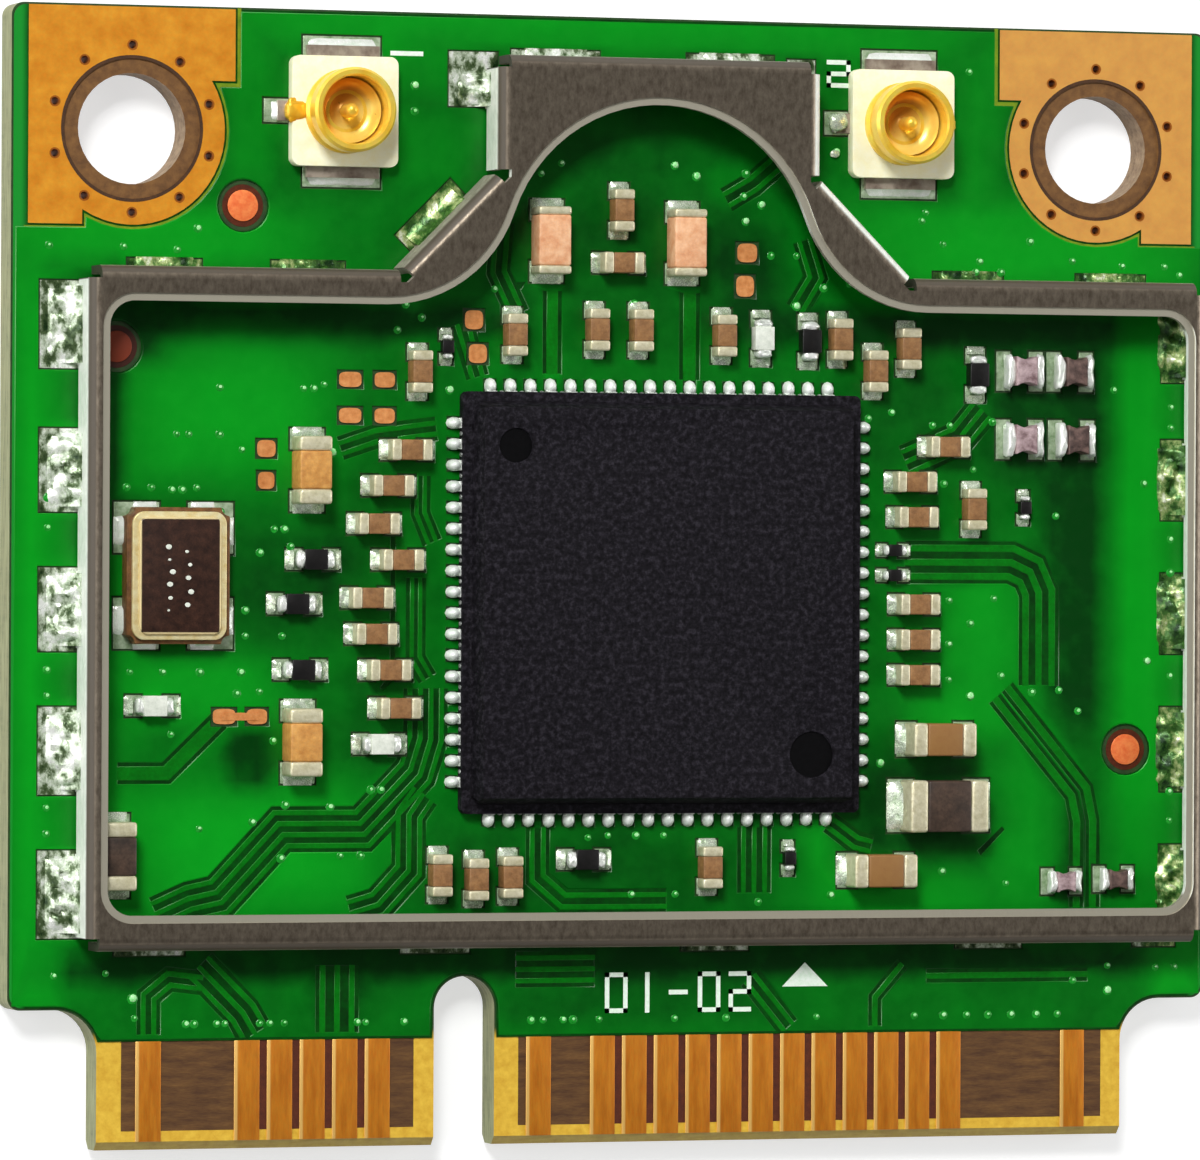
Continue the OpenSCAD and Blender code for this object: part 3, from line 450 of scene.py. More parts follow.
# Painted shade: the cut ends of the back and front walls face sideways too, but are painted dark
shaded_cut_ends = m.most(m.mul(m.step(y, 6.93, 6.96), m.step(y, 7.4, 7.3)), m.step(y, -8.38, -8.41))
shaded_cut_ends = m.most(shaded_cut_ends, m.step(y, 12.06, 12.09))
m.color(m.mix(m.mul(shaded_cut_ends, side), tone, rgb(58, 56, 46)))
m.put(m.p.inputs["Metallic"], m.sub(m.sub(0.9, m.mul(bend, 0.6)), m.mul(rim, 0.25)))
m.put(m.p.inputs["Roughness"], m.add(0.36, m.mul(bend, 0.22)))

# Solder of the frame's feet: mottled from white through grey to dark green, as painted highlights and a
# painted reflection of the green board; duller at the right and the back
for name, low in (("foot", 0.0), ("foot_pad", 0.04)):
    m = M[name] = Mat(name, metal=0.35)
    x, y, z = m.xyz()
    glint_and_lump_noise = m.noise(2.6, 5.0, 0.62, (1.2, 0.8, 1.0))
    m.color(m.tones(glint_and_lump_noise, (0.30 + low, 18, 48, 14), (0.42 + low, 84, 104, 66),
                    (0.50 + low, 196, 210, 184), (0.60 + low, 250, 253, 246)))
    place = m.most(m.step(x, 13.3, 13.5), m.mul(m.step(y, 7.1, 7.3), m.step(y, 10.4, 10.2)))
    m.tint(place, m.tones(glint_and_lump_noise, (0.36, 14, 50, 12), (0.5, 70, 116, 48),
                          (0.6, 168, 186, 120), (0.68, 226, 232, 206)))
    m.rough(m.noise(9.0, 2.0), 0.18, 0.4)
    m.bump(glint_and_lump_noise, 0.05)

# Gold contacts: a painted highlight down each one's left edge
m = M["contact"]
x, y, z = m.xyz()
edge = m.math("FRACT", m.mul(m.sub(x, CONTACT_LEFT), 1.25))
m.tint(m.step(edge, 0.13, 0.07), rgb(250, 200, 112))

# Sockets: the soldered legs below the shells are tinned, and the funnels carry painted shade at the upper
# left and a painted highlight at the lower right
SHELLS = [[sum(b[k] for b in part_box(node)) / 2 * 1000 for k in (0, 1)]
          for node in ("left_socket_shell", "right_socket_shell")]
m = M["socket_gold"]
x, y, z = m.xyz()
far = m.least(*[m.apart(x, y, cx, cy) for cx, cy in SHELLS])
m.tint(m.step(far, 1.35, 1.5),
       m.tones(m.noise(3.0, 4.0), (0.3, 128, 110, 98), (0.6, 186, 172, 156)))
m = M["funnel"]
x, y, z = m.xyz()
# Painted light: each funnel runs from dark orange at the upper left to bright yellow at the lower right
funnel_lit_side = 0.0
for cx, cy in SHELLS:
    near = m.math("LESS_THAN", m.size(m.sub(x, cx)), 2.0)
    run = m.sub(m.sub(x, y), cx - cy)
    funnel_lit_side = m.add(funnel_lit_side, m.mul(near, m.step(run, -0.7, 0.6)))
m.color(m.mix(funnel_lit_side, m.tones(m.noise(1.5), (0.3, 200, 118, 18), (0.7, 232, 150, 38)),
              m.tones(m.noise(1.5), (0.3, 250, 210, 92), (0.7, 255, 238, 140))))

# The dot in the frame's corner lies in deep shade
for name, shade in (("dot", rgb(132, 52, 26)), ("dot_ring", rgb(62, 24, 12))):
    m = M[name]
    x, y, z = m.xyz()
    m.tint(m.mul(m.step(x, -11.5, -11.8), m.step(y, 4.0, 4.2)), shade)

# The land at the right is paler, and the medium capacitors there are browner
for name, lo, hi, share, shade in (("land", 0.0, 1.0, 0.4, rgb(232, 186, 116)),
                                   ("orange_tan", 3.0, 5.0, 0.9, rgb(136, 97, 52))):
    m = M[name]
    x, y, z = m.xyz()
    m.tint(m.mul(m.step(x, lo, hi), share), shade)

# Coils: the cores at the left of each pair are pale, those at the right dark
m = M["coil"]
x, y, z = m.xyz()
grain = m.noise(5.0, 4.0, 0.6)
cores = [middle(lo, hi) for lo, hi, g in islands("coil_cores")]
dark = 0.0
for cx, cy in cores:
    if any(0.5 < cx - ox < 1.8 and abs(cy - oy) < 0.4 for ox, oy in cores):
        dark = m.most(dark, m.mul(*[m.step(m.size(m.sub(a, c)), 0.6, 0.55) for a, c in ((x, cx), (y, cy))]))
m.color(m.mix(dark, m.tones(grain, (0.3, 112, 86, 88), (0.65, 194, 170, 172)),
              m.tones(grain, (0.3, 40, 27, 24), (0.68, 118, 94, 86))))

# Lacquer: paler towards the board's sides
m = M["lacquer"]
x, y, z = m.xyz()
m.tint(m.step(m.size(x), 14.55, 14.8), rgb(24, 140, 44))

# Crystal lid: a pale line where it is seamed to the ring
m = M["lid"]
x, y, z = m.xyz()
lo, hi, g = islands("crystal_lid")[0]
away = m.least(m.least(m.sub(x, lo[0]), m.sub(hi[0], x)), m.least(m.sub(y, lo[1]), m.sub(hi[1], y)))
m.tint(m.step(away, 0.06, 0.03), rgb(236, 214, 160))

# Green lacquer over copper: its tone is painted on the mesh as a share of bright and dark, and holds painted
# shadows beside the frame
m = M["pour"]
tone = m.t.nodes.new("ShaderNodeAttribute")
tone.attribute_name = "tone"
cloud = m.mul(m.sub(m.noise(0.9, 4.0, 0.6), 0.5), 0.35)
level = m.math("ADD", tone.outputs["Fac"], cloud, clamp=True)
m.color(m.tones(level, (0.0, 0, 58, 9), (0.3, 1, 112, 19), (0.95, 5, 158, 28)))

# Which material each CAD node takes, a slot name that nothing here reads, and how far its edges are rounded
# in mm
LOOK = {
    "board_laminate": ("laminate", "laminate", 0), "solder_mask_top": ("lacquer", "green_lacquer", 0),
    "solder_mask_bottom": ("lacquer", "green_lacquer", 0),
    "edge_contacts_top": ("contact", "contact_gold", 0.015),
    "edge_contacts_bottom": ("contact", "contact_gold", 0.015), "screw_lands_top": ("land", "land_gold", 0),
    "screw_lands_bottom": ("land", "land_gold", 0), "screw_land_vias": ("via_gold", "land_gold", 0),
    "component_pads": ("pad", "tinned_pad", 0.015), "empty_pads": ("copper", "bare_copper", 0),
    "fiducial_dots": ("dot", "bare_copper", 0.01), "shield_pads": ("foot_pad", "tinned_pad", 0),
    "shield_frame": ("steel", "shield_steel", 0), "shield_solder": ("foot", "solder", 0),
    "component_solder": ("solder", "solder", 0), "chip_body": ("chip", "chip_black", 0.05),
    "chip_leads": ("lead", "lead_tin", 0), "chip_paddle": ("lead", "lead_tin", 0),
    "crystal_base": ("ceramic", "crystal_ceramic", 0.03), "crystal_seal_ring": ("seal", "seal_gold", 0.02),
    "crystal_lid": ("lid", "crystal_lid", 0.03), "crystal_solder": ("solder", "solder", 0),
    "left_socket_base": ("cream", "socket_cream", 0.04),
    "right_socket_base": ("cream", "socket_cream", 0.04),
    "left_socket_shell": ("socket_gold", "socket_gold", 0),
    "right_socket_shell": ("socket_gold", "socket_gold", 0),
    "left_socket_contact": ("socket_gold", "socket_gold", 0.02),
    "right_socket_contact": ("socket_gold", "socket_gold", 0.02), "socket_solder": ("solder", "solder", 0),
    "small_capacitor_bodies": ("tan", "tan_ceramic", 0.03),
    "small_capacitor_ends": ("end", "end_tin", 0.05),
    "medium_capacitor_bodies": ("orange_tan", "tan_ceramic", 0.05),
    "medium_capacitor_ends": ("end", "end_tin", 0.07),
    "large_capacitor_body": ("dark_cap", "dark_ceramic", 0.05),
    "large_capacitor_ends": ("end", "end_tin", 0.08),
    "dark_capacitor_body": ("dark_cap", "dark_ceramic", 0.05),
    "dark_capacitor_ends": ("end", "end_tin", 0.07), "pale_resistor_bodies": ("pale", "pale_ceramic", 0.02),
    "black_resistor_bodies": ("film", "black_film", 0.02), "resistor_ends": ("blob", "end_tin", 0),
    "tiny_resistor_bodies": ("film", "black_film", 0.015), "tiny_resistor_ends": ("blob", "end_tin", 0),
    "filter_bodies": ("salmon", "salmon_ceramic", 0.05), "filter_ends": ("end", "end_tin", 0.06),
    "coil_cores": ("coil", "coil_brown", 0.03), "coil_ends": ("blob", "end_tin", 0),
}


def dress(mesh, mat):
    mesh.materials.clear()
    mesh.materials.append(M[mat].m)


def own(name, mesh, mat, node=None):
    """A new piece that rides the card, in place of a CAD node where one is named."""
    o = bpy.data.objects.new(name, mesh)
    scene.collection.objects.link(o)
    dress(mesh, mat)
    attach(o, "root")
    if node:
        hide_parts(node)
    return o


def rounded(node, mat, width):
    """A copy of a CAD node with its edges rounded, in the node's place."""
    bm = welded(node)
    bmesh.ops.dissolve_limit(bm, angle_limit=math.radians(2), verts=bm.verts, edges=bm.edges)
    sharp = [e for e in bm.edges if len(e.link_faces) == 2 and e.calc_face_angle(0) > math.radians(30)]
    bmesh.ops.bevel(bm, geom=sharp, offset=width * MM, segments=3, profile=0.5, affect="EDGES",
                    clamp_overlap=True)
    for f in bm.faces:
        f.smooth = True
    me = bpy.data.meshes.new(node + "_rounded")
    bm.to_mesh(me)
    bm.free()
    me.set_sharp_from_angle(angle=math.radians(40))
    return own(node + "_rounded", me, mat, node)


for name, (mat, slot, width) in LOOK.items():
    if width:
        rounded(name, mat, width)
    else:
        dress(nodes[name].data, mat)


def board_outline(inset):
    """The board's edge, drawn in by inset."""
    w, far, tab, y0, edge = 15.0 - inset, 13.4 - inset, 12.85 - inset, -10.1, -10.78
    pts = [(-tab, edge), (-4.6 - inset, edge), (-4.6 - inset, -10.15)]
    pts += [(-3.85 - (0.75 + inset) * math.cos(a), -10.15 + (0.75 + inset) * math.sin(a))
            for a in [math.pi * k / 14 for k in range(1, 14)]]
    pts += [(-3.1 + inset, -10.15), (-3.1 + inset, edge), (tab, edge)]
    r = 1.0 + inset
    turns = [math.pi / 2 * k / 8 for k in range(2, 9)]
    pts += [(13.85 - r * math.cos(a), -11.1 + r * math.sin(a)) for a in turns]
    pts += [(w, y0 + inset), (w, far), (-w, far), (-w, y0 + inset)]
    pts += [(-13.85 + r * math.cos(a), -11.1 + r * math.sin(a)) for a in turns[::-1]]
    return pts


# Copper lines under the lacquer: points, number side by side, spacing and width
LINES = [
    ([(-11.4, -7.8), (-10.6, -7.45), (-9.9, -7.3), (-8.4, -5.72), (-6.4, -5.72), (-5.1, -4.4),
      (-4.85, -3.6), (-4.85, -2.4)], 4, 0.26, 0.1),
    ([(-4.9, -4.9), (-5.25, -5.4), (-5.25, -6.7), (-6.0, -7.5), (-6.7, -7.7)], 3, 0.27, 0.1),
    ([(7.2, 0.62), (9.95, 0.62), (10.45, 0.4), (10.68, -0.1), (10.68, -2.35)], 3, 0.34, 0.14),
    ([(9.7, -2.5), (11.75, -4.9), (11.9, -5.6), (11.9, -7.7)], 2, 0.42, 0.16),
    ([(-2.05, -5.7), (-2.05, -6.9), (-1.4, -7.45), (1.2, -7.45)], 2, 0.28, 0.1),
    ([(3.4, -5.7), (3.4, -7.3)], 3, 0.27, 0.1),
    ([(5.3, -5.6), (6.0, -6.1), (6.4, -6.2)], 2, 0.24, 0.09),
    ([(-1.75, 5.0), (-1.75, 7.0)], 1, 0.3, 0.26),
    ([(1.7, 4.9), (1.7, 7.0)], 1, 0.3, 0.3),
    ([(-2.6, 6.4), (-3.1, 7.4), (-3.0, 8.6)], 2, 0.28, 0.1),
    ([(2.6, 9.2), (3.3, 9.6), (4.0, 10.2)], 2, 0.3, 0.1),
    ([(4.4, 6.6), (4.9, 7.4), (4.6, 8.3)], 2, 0.28, 0.1),
    ([(7.2, 3.0), (8.6, 3.6), (9.2, 4.3)], 3, 0.27, 0.1),
    ([(-7.0, -8.9), (-7.0, -10.5)], 3, 0.36, 0.12),
    ([(-10.4, -8.9), (-9.3, -10.0), (-9.0, -10.5)], 3, 0.3, 0.1),
    ([(-11.6, -10.5), (-11.6, -9.6), (-11.1, -9.2), (-10.3, -9.3)], 2, 0.26, 0.1),
    ([(-2.6, -9.05), (-0.6, -9.05)], 3, 0.27, 0.1),
    ([(3.3, -9.3), (4.3, -10.5)], 2, 0.27, 0.1),
    ([(7.2, -9.0), (6.5, -9.8), (6.5, -10.5)], 1, 0.3, 0.12),
    ([(7.8, -9.3), (12.0, -9.3)], 1, 0.3, 0.12),
    ([(-4.6, 3.7), (-6.1, 3.5), (-7.0, 3.2)], 2, 0.26, 0.1),
    ([(-4.7, 1.0), (-5.0, 1.7), (-5.0, 2.6)], 2, 0.2, 0.08),
    ([(-4.8, -2.2), (-5.1, -1.7), (-5.1, 0.2)], 2, 0.2, 0.08),
    ([(-3.6, 4.9), (-4.0, 6.2)], 2, 0.26, 0.1),
    ([(-12.4, -4.4), (-11.2, -4.4), (-9.9, -3.15)], 1, 0.3, 0.3),
]
# Small bare islands below the lacquer
BARE = [
    [(-3.15, 6.9), (-2.5, 7.0), (-2.4, 7.2), (-3.1, 7.15)],
    [(-0.55, 7.75), (0.55, 7.75), (0.55, 7.9), (-0.55, 7.9)],
    [(9.1, -6.3), (9.75, -5.7), (9.85, -5.8), (9.2, -6.45)],
    [(-5.9, -2.5), (-5.6, -2.2), (-5.6, 1.2), (-5.75, 1.2), (-5.75, -2.1), (-6.0, -2.4)],
    [(10.2, 5.35), (12.0, 5.35), (12.0, 5.5), (10.2, 5.5)],
]


def pour_mesh():
    """The copper fields and lines under the lacquer, cut out of the board's outline."""
    verts, faces, kinds = [], [], []

    def add(poly, kind):
        base = len(verts)
        verts.extend(poly if area(poly) > 0 else poly[::-1])
        faces.append(list(range(base, base + len(poly))))
        kinds.append(kind)

    for i in range(61):
        for j in range(54):
            verts.append((-15.0 + 0.5 * i + 0.011 * (j % 3), -13.25 + 0.5 * j + 0.007 * (i % 5)))
    add(board_outline(0.12), "board")
    for x in (-HOLE_X, HOLE_X):
        add(disc(x, HOLE_Y, 2.38, 40), "none")
    for s in (-1, 1):
        for near, low in ((9.45, 11.5), (13.2, 8.15)):
            a, b = sorted((s * near, s * 15.2))
            add(rect(a, low, b, 13.6), "none")
    for node, gap in (("component_pads", 0.065), ("empty_pads", 0.07), ("shield_pads", 0.055)):
        for lo, hi, group in islands(node):
            add(grow(hull(group), gap), "none")
    for lo, hi, group in islands("fiducial_dots"):
        add(disc(*middle(lo, hi), 0.66, 24), "none")
    for pts, count, spacing, width in LINES:
        pts = [fit(*p) for p in pts]
        for k in range(count):
            line = offset_line(pts, (k - (count - 1) / 2) * spacing)
            add(ribbon(line, width / 2 + 0.125), "bare")
            add(ribbon(line, width / 2), "line")
    for poly in BARE:
        add([fit(*p) for p in poly], "bare")
    vs, _, tris, _, _, ids = geometry.delaunay_2d_cdt([Vector(v) for v in verts], [], faces, 0, 1e-4, True)
    keep = {"pour": [], "line": []}
    for tri, src in zip(tris, ids):
        k = set(kinds[i] for i in src)
        if "board" not in k or "none" in k:
            continue
        if "line" in k:
            keep["line"].append(tri)
        elif "bare" not in k:
            keep["pour"].append(tri)
    return [(v.x, v.y) for v in vs], keep


def plateau(name, pts, tris, top, low, spread, mat, tone=None):
    """A flat field with a sloping rim, from flat triangles, in millimetres."""
    bm = bmesh.new()
    made = {}
    for tri in tris:
        for i in tri:
            if i not in made:
                made[i] = bm.verts.new((pts[i][0] * MM, pts[i][1] * MM, top * MM))
        try:
            bm.faces.new([made[i] for i in tri])
        except ValueError:
            pass
    bmesh.ops.recalc_face_normals(bm, faces=bm.faces)
    for f in bm.faces:
        if f.normal.z < 0:
            f.normal_flip()
    if not tone:
        bmesh.ops.dissolve_limit(bm, angle_limit=0.01, verts=bm.verts, edges=bm.edges)
    rim = [e for e in bm.edges if len(e.link_faces) == 1]
    push = {}
    for e in rim:
        loop = e.link_loops[0]
        a, b = loop.vert, loop.link_loop_next.vert
        d = (b.co - a.co).normalized()
        for v in (a, b):
            push.setdefault(v, []).append(Vector((d.y, -d.x, 0)))
    lower = {}
    for v, ns in push.items():
        n = sum(ns, Vector((0, 0, 0)))
        n = n.normalized() if n.length > 0.3 else Vector((0, 0, 0))
        lower[v] = [bm.verts.new((v.co.x + n.x * spread * k * MM, v.co.y + n.y * spread * k * MM, z * MM))
                    for k, z in ((0.4, top - 0.3 * (top - low)), (1.0, low))]
    for e in rim:
        loop = e.link_loops[0]
        a, b = loop.vert, loop.link_loop_next.vert
        mid = (lower[a][0], lower[b][0])
        for up, dn in (((a, b), mid), (mid, (lower[a][1], lower[b][1]))):
            bm.faces.new((up[1], up[0], dn[0], dn[1])).smooth = True
    bmesh.ops.triangulate(bm, faces=bm.faces, ngon_method="BEAUTY")
    me = bpy.data.meshes.new(name)
    bm.to_mesh(me)
    bm.free()
    if tone:
        attr = me.attributes.new("tone", "FLOAT", "POINT")
        attr.data.foreach_set("value", [tone(v.co.x / MM, v.co.y / MM) for v in me.vertices])
    return own(name, me, mat)


# Where the copper fields lie bright under the lacquer: middle, half sizes and gain
GLOW = [
    (-9.9, 4.0, 2.4, 1.5, 0.56), (-9.4, -6.2, 3.2, 1.5, 0.66), (13.3, 0.3, 0.7, 7.0, 0.66),
    (9.0, -3.0, 1.5, 0.7, 0.5), (10.2, -5.8, 0.9, 2.0, 0.45), (-14.6, -1.0, 0.6, 9.5, 0.62),
    (-11.6, 8.1, 3.6, 0.7, 0.5), (10.3, 8.2, 4.2, 1.0, 0.55), (-1.0, 13.2, 9.0, 0.4, 0.45),
    (-10.6, -2.5, 2.0, 0.7, 0.55), (9.2, -1.1, 1.0, 1.5, 0.5), (5.0, -6.4, 0.45, 0.8, 0.5),
    (7.2, -7.4, 2.4, 0.5, 0.5), (14.3, -9.4, 0.7, 1.0, 0.5), (-14.4, -9.2, 0.7, 0.9, 0.5),
    (9.0, 10.4, 0.5, 2.0, 0.3), (-9.2, 11.2, 0.5, 1.8, 0.25), (-5.6, 10.3, 1.4, 0.8, 0.25),
    (2.6, 9.6, 0.5, 0.5, 0.25), (-4.9, 12.3, 1.2, 0.6, 0.25), (-1.75, 6.0, 0.2, 1.2, 0.4),
    (1.7, 6.0, 0.2, 1.2, 0.4), (-12.2, -0.4, 0.5, 3.6, 0.3),
]
# Where they lie dark, partly for want of copper and partly as painted shadow under the frame's walls and
# flanges: the same, as a loss
SHADE = [
    (0.0, -8.85, 13.8, 0.3, 0.5), (-8.0, 6.25, 5.0, 0.35, 0.35), (8.4, 6.25, 5.2, 0.4, 0.35),
    (11.7, 1.4, 0.75, 4.6, 0.34), (-9.1, -4.2, 0.5, 0.7, 0.5), (7.9, -5.2, 1.9, 1.1, 0.34),
    (10.9, 4.3, 1.5, 1.7, 0.26), (-8.2, 0.1, 1.4, 1.1, 0.2), (-1.0, -6.7, 3.9, 1.0, 0.14),
    (0.0, 8.8, 3.4, 2.4, 0.12), (3.2, 7.4, 0.8, 0.9, 0.2), (0.3, -9.6, 3.4, 0.6, 0.12),
    (7.1, 4.6, 1.2, 1.4, 0.12), (-12.5, 4.0, 0.25, 3.0, 0.4), (-12.3, 6.1, 1.1, 1.0, 0.5),
    (11.6, -6.4, 0.5, 1.2, 0.24), (-6.2, -0.6, 0.7, 4.4, 0.08),
]
BASE_TONE = 0.24


def nearness(x, y, cx, cy, rx, ry):
    """One in the middle of a soft-edged oblong, and nothing far outside it."""
    cx, cy = fit(cx, cy)
    return math.exp(-0.7 * (((x - cx) / rx) ** 4 + ((y - cy) / ry) ** 4))


def tone_at(x, y):
    v = max([BASE_TONE] + [BASE_TONE + gain * nearness(x, y, *spot) for *spot, gain in GLOW])
    for *spot, loss in SHADE:
        v -= loss * nearness(x, y, *spot)
    return min(1.0, max(0.0, v))


points, fields = pour_mesh()
plateau("copper_fields", points, fields["pour"], FIELD_TOP, FIELD_LOW, 0.03, "pour", tone_at)
plateau("copper_lines", points, fields["line"], LINE_TOP, FIELD_LOW, 0.02, "trace")


def bag(name, mat, parts, node=None):
    """One mesh from many small closed or open forms: parts is a list of (verts in mm, faces)."""
    vs, fs = [], []
    for v, f in parts:
        base = len(vs)
        vs.extend((a * MM, b * MM, c * MM) for a, b, c in v)
        fs.extend([tuple(i + base for i in face) for face in f])
    me = bpy.data.meshes.new(name)
    me.from_pydata(vs, [], fs)
    me.validate()
    me.polygons.foreach_set("use_smooth", [True] * len(me.polygons))
    me.set_sharp_from_angle(angle=math.radians(50))
    me.update()
    return own(name, me, mat, node)


def dome(x, y, z, rx, ry, h, n, rings, turn=0.0, dent=0.0, skirt=0.004):
    """A low round lump; with a dent its middle sinks, as on a covered via."""
    v, f = [], []
    c, s = math.cos(turn), math.sin(turn)
    for j in range(rings):
        t = j / rings
        r, up = math.cos(t * math.pi / 2), math.sin(t * math.pi / 2)
        for k in range(n):
            a = 2 * math.pi * k / n
            px, py = rx * r * math.cos(a), ry * r * math.sin(a)
            v.append((x + px * c - py * s, y + px * s + py * c, z + h * up - (skirt if j == 0 else 0)))
    v.append((x, y, z + h - dent))
    for j in range(rings - 1):
        for k in range(n):
            a, b = j * n + k, j * n + (k + 1) % n
            f.append((a, b, b + n, a + n))
    top = len(v) - 1
    for k in range(n):
        f.append(((rings - 1) * n + k, (rings - 1) * n + (k + 1) % n, top))
    return v, f


def sheet_poly(poly, z, drop):
    """A thin flat plate with closed sides, from an outline."""
    n = len(poly)
    if area(poly) < 0:
        poly = poly[::-1]
    v = [(a, b, z) for a, b in poly] + [(a, b, z - drop) for a, b in poly]
    f = [tuple(range(n))] + [(k, k + n, (k + 1) % n + n, (k + 1) % n) for k in range(n)]
    return v, f


def solder_face(lo, hi, group, out, rough, seed, nu=9, nv=6, lift=1.0):
    """Solder drawn up a part's end: hollow from the pad up to the metal, uneven along its length."""
    cx, cy = middle(lo, hi)
    wide = hi[0] - lo[0] > hi[1] - lo[1]
    gx = sum(g[0] for g in group) / len(group) - cx
    gy = sum(g[1] for g in group) / len(group) - cy
    high = hi[2] - lo[2]
    v, f = [], []
    for i in range(nu):
        u = -1 + 2 * i / (nu - 1)
        for j in range(nv):
            t = j / (nv - 1)
            if wide:
                d = 1 if gy > 0 else -1
                x = cx + u * (hi[0] - lo[0]) / 2 * (1 - 0.08 * (1 - t))
                y = (lo[1] - out if d > 0 else hi[1] + out) + d * t * (hi[1] - lo[1] + out)
            else:
                d = 1 if gx > 0 else -1
                y = cy + u * (hi[1] - lo[1]) / 2 * (1 - 0.08 * (1 - t))
                x = (lo[0] - out if d > 0 else hi[0] + out) + d * t * (hi[0] - lo[0] + out)
            n = noise.noise(Vector((x * 4.1 + seed, y * 4.1, 3.7)))
            m = noise.noise(Vector((x * 9.3, y * 9.3 + seed, 1.2)))
            edge = 1 - abs(u) ** 6
            z = lo[2] + high * lift * (0.12 + 0.88 * t ** 1.7) * edge
            z += rough * (n + 0.5 * m) * edge * (0.4 + t * (1 - t) * 4)
            z = max(z, lo[2] + 0.002) if 0 < i < nu - 1 and j > 0 else lo[2] - 0.004
            v.append((x, y, z))
    for i in range(nu - 1):
        for j in range(nv - 1):
            a = i * nv + j
            quad = (a, a + nv, a + nv + 1, a + 1)
            f.append(quad if (wide == (d > 0)) else quad[::-1])
    return v, f


def blob(lo, hi, seed, bend, nu, nv, rough, power):
    """A lumpy rounded block between two corners; bend curves it like a crescent."""
    c = [(a + b) / 2 for a, b in zip(lo, hi)]
    h = [(b - a) / 2 for a, b in zip(lo, hi)]
    v, f = [], []
    for j in range(nv + 1):
        t = math.pi * (j / nv - 0.5)
        for i in range(nu):
            a = 2 * math.pi * i / nu
            p = [math.cos(t) * math.cos(a), math.cos(t) * math.sin(a), math.sin(t)]
            p = [math.copysign(abs(q) ** power, q) for q in p]
            n = 1 - rough * (1 + noise.noise(Vector((p[0] * 1.7 + seed, p[1] * 1.7, p[2] * 1.7 + seed))))
            q = [c[k] + h[k] * p[k] * n for k in range(3)]
            q[0] += bend * (p[1] ** 2 - 1)
            v.append(tuple(q))
    for j in range(nv):
        for i in range(nu):
            a, b = j * nu + i, j * nu + (i + 1) % nu
            f.append((a, b, b + nu, a + nu))
    return v, f


def nearest(boxes, mid):
    """The middle of the box that lies nearest to a point."""
    return min((middle(*box[:2]) for box in boxes), key=lambda c: math.hypot(c[0] - mid[0], c[1] - mid[1]))


# Black resistors and coils: thick lumpy ends
parts = []
bodies = islands("black_resistor_bodies") + islands("pale_resistor_bodies")
for k, (lo, hi, g) in enumerate(islands("resistor_ends")):
    mid = middle(lo, hi)
    body = nearest(bodies, mid)
    lo, hi = list(lo), list(hi)
    for ax in (0, 1):
        away = body[ax] - mid[ax]
        if abs(away) > 0.2:
            lo[ax] += min(0.0, math.copysign(0.07, away))
            hi[ax] += max(0.0, math.copysign(0.07, away))
    hi[2] += 0.03
    parts.append(blob(lo, hi, 2.3 * k, 0.0, 16, 9, 0.2, 0.72))
bag("resistor_ends_lumpy", "blob", parts, "resistor_ends")
bars = islands("coil_cores")
parts = []
for k, (lo, hi, g) in enumerate(islands("coil_ends")):
    mid = middle(lo, hi)
    sign = math.copysign(1, nearest(bars, mid)[0] - mid[0])
    parts.append(blob(lo, hi, 1.7 * k, -0.2 * (hi[0] - lo[0]) * sign, 16, 9, 0.16, 0.6))
bag("coil_ends_lumpy", "blob", parts, "coil_ends")

# Sockets: the gold lug at one side of each shell, and the solder at the other
left = islands("left_socket_base")[0]
right = islands("right_socket_base")[0]
cy = middle(*left[:2])[1]
lx, lz = left[0][0], left[1][2]
r0, r1, rz = right[0][0], right[1][0], right[1][2]
bag("socket_lugs", "socket_lug", [
    blob((lx - 0.2, cy - 0.26, 1.1), (lx + 0.42, cy + 0.26, lz + 0.07), 3.0, 0, 16, 9, 0.1, 0.6),
    blob((lx - 0.12, cy - 0.32, 1.2), (lx + 0.12, cy + 0.34, lz + 0.05), 8.0, 0, 14, 8, 0.1, 0.6),
    blob((r1 - 0.3, cy - 0.16, rz - 0.3), (r1 + 0.1, cy + 0.2, rz + 0.04), 5.0, 0, 14, 8, 0.14, 0.7)])
bag("socket_side_solder", "lump", [
    blob((r0 - 0.62, cy - 0.25, BOARD_TOP), (r0 - 0.02, cy + 0.3, 1.32), 6.0, 0, 16, 8, 0.2, 0.8),
    blob((r0 - 0.5, cy - 0.85, BOARD_TOP), (r0 - 0.2, cy - 0.62, 1.1), 7.0, 0, 12, 6, 0.2, 0.8)])

parts = [blob(lo, (hi[0], hi[1], hi[2] + 0.03), 1.3 * k, 0.0, 14, 8, 0.18, 0.75)
         for k, (lo, hi, g) in enumerate(islands("tiny_resistor_ends"))]
bag("tiny_ends_lumpy", "blob", parts, "tiny_resistor_ends")

# Sockets: the gold funnel inside each ring, as radius and height from the rim down
FUNNEL = [(0.76, 1.72), (0.7, 1.52), (0.56, 1.42), (0.36, 1.385), (0.22, 1.4), (0.17, 1.42)]
funnels = []
n = 48
for box in (left, right):
    sx = middle(*box[:2])[0]
    v = [(sx + r * math.cos(2 * math.pi * k / n), cy + r * math.sin(2 * math.pi * k / n), z)
         for r, z in FUNNEL for k in range(n)]
    f = [(j * n + k, j * n + (k + 1) % n, (j + 1) * n + (k + 1) % n, (j + 1) * n + k)
         for j in range(len(FUNNEL) - 1) for k in range(n)]
    funnels.append((v, f))
bag("socket_funnels", "funnel", funnels)

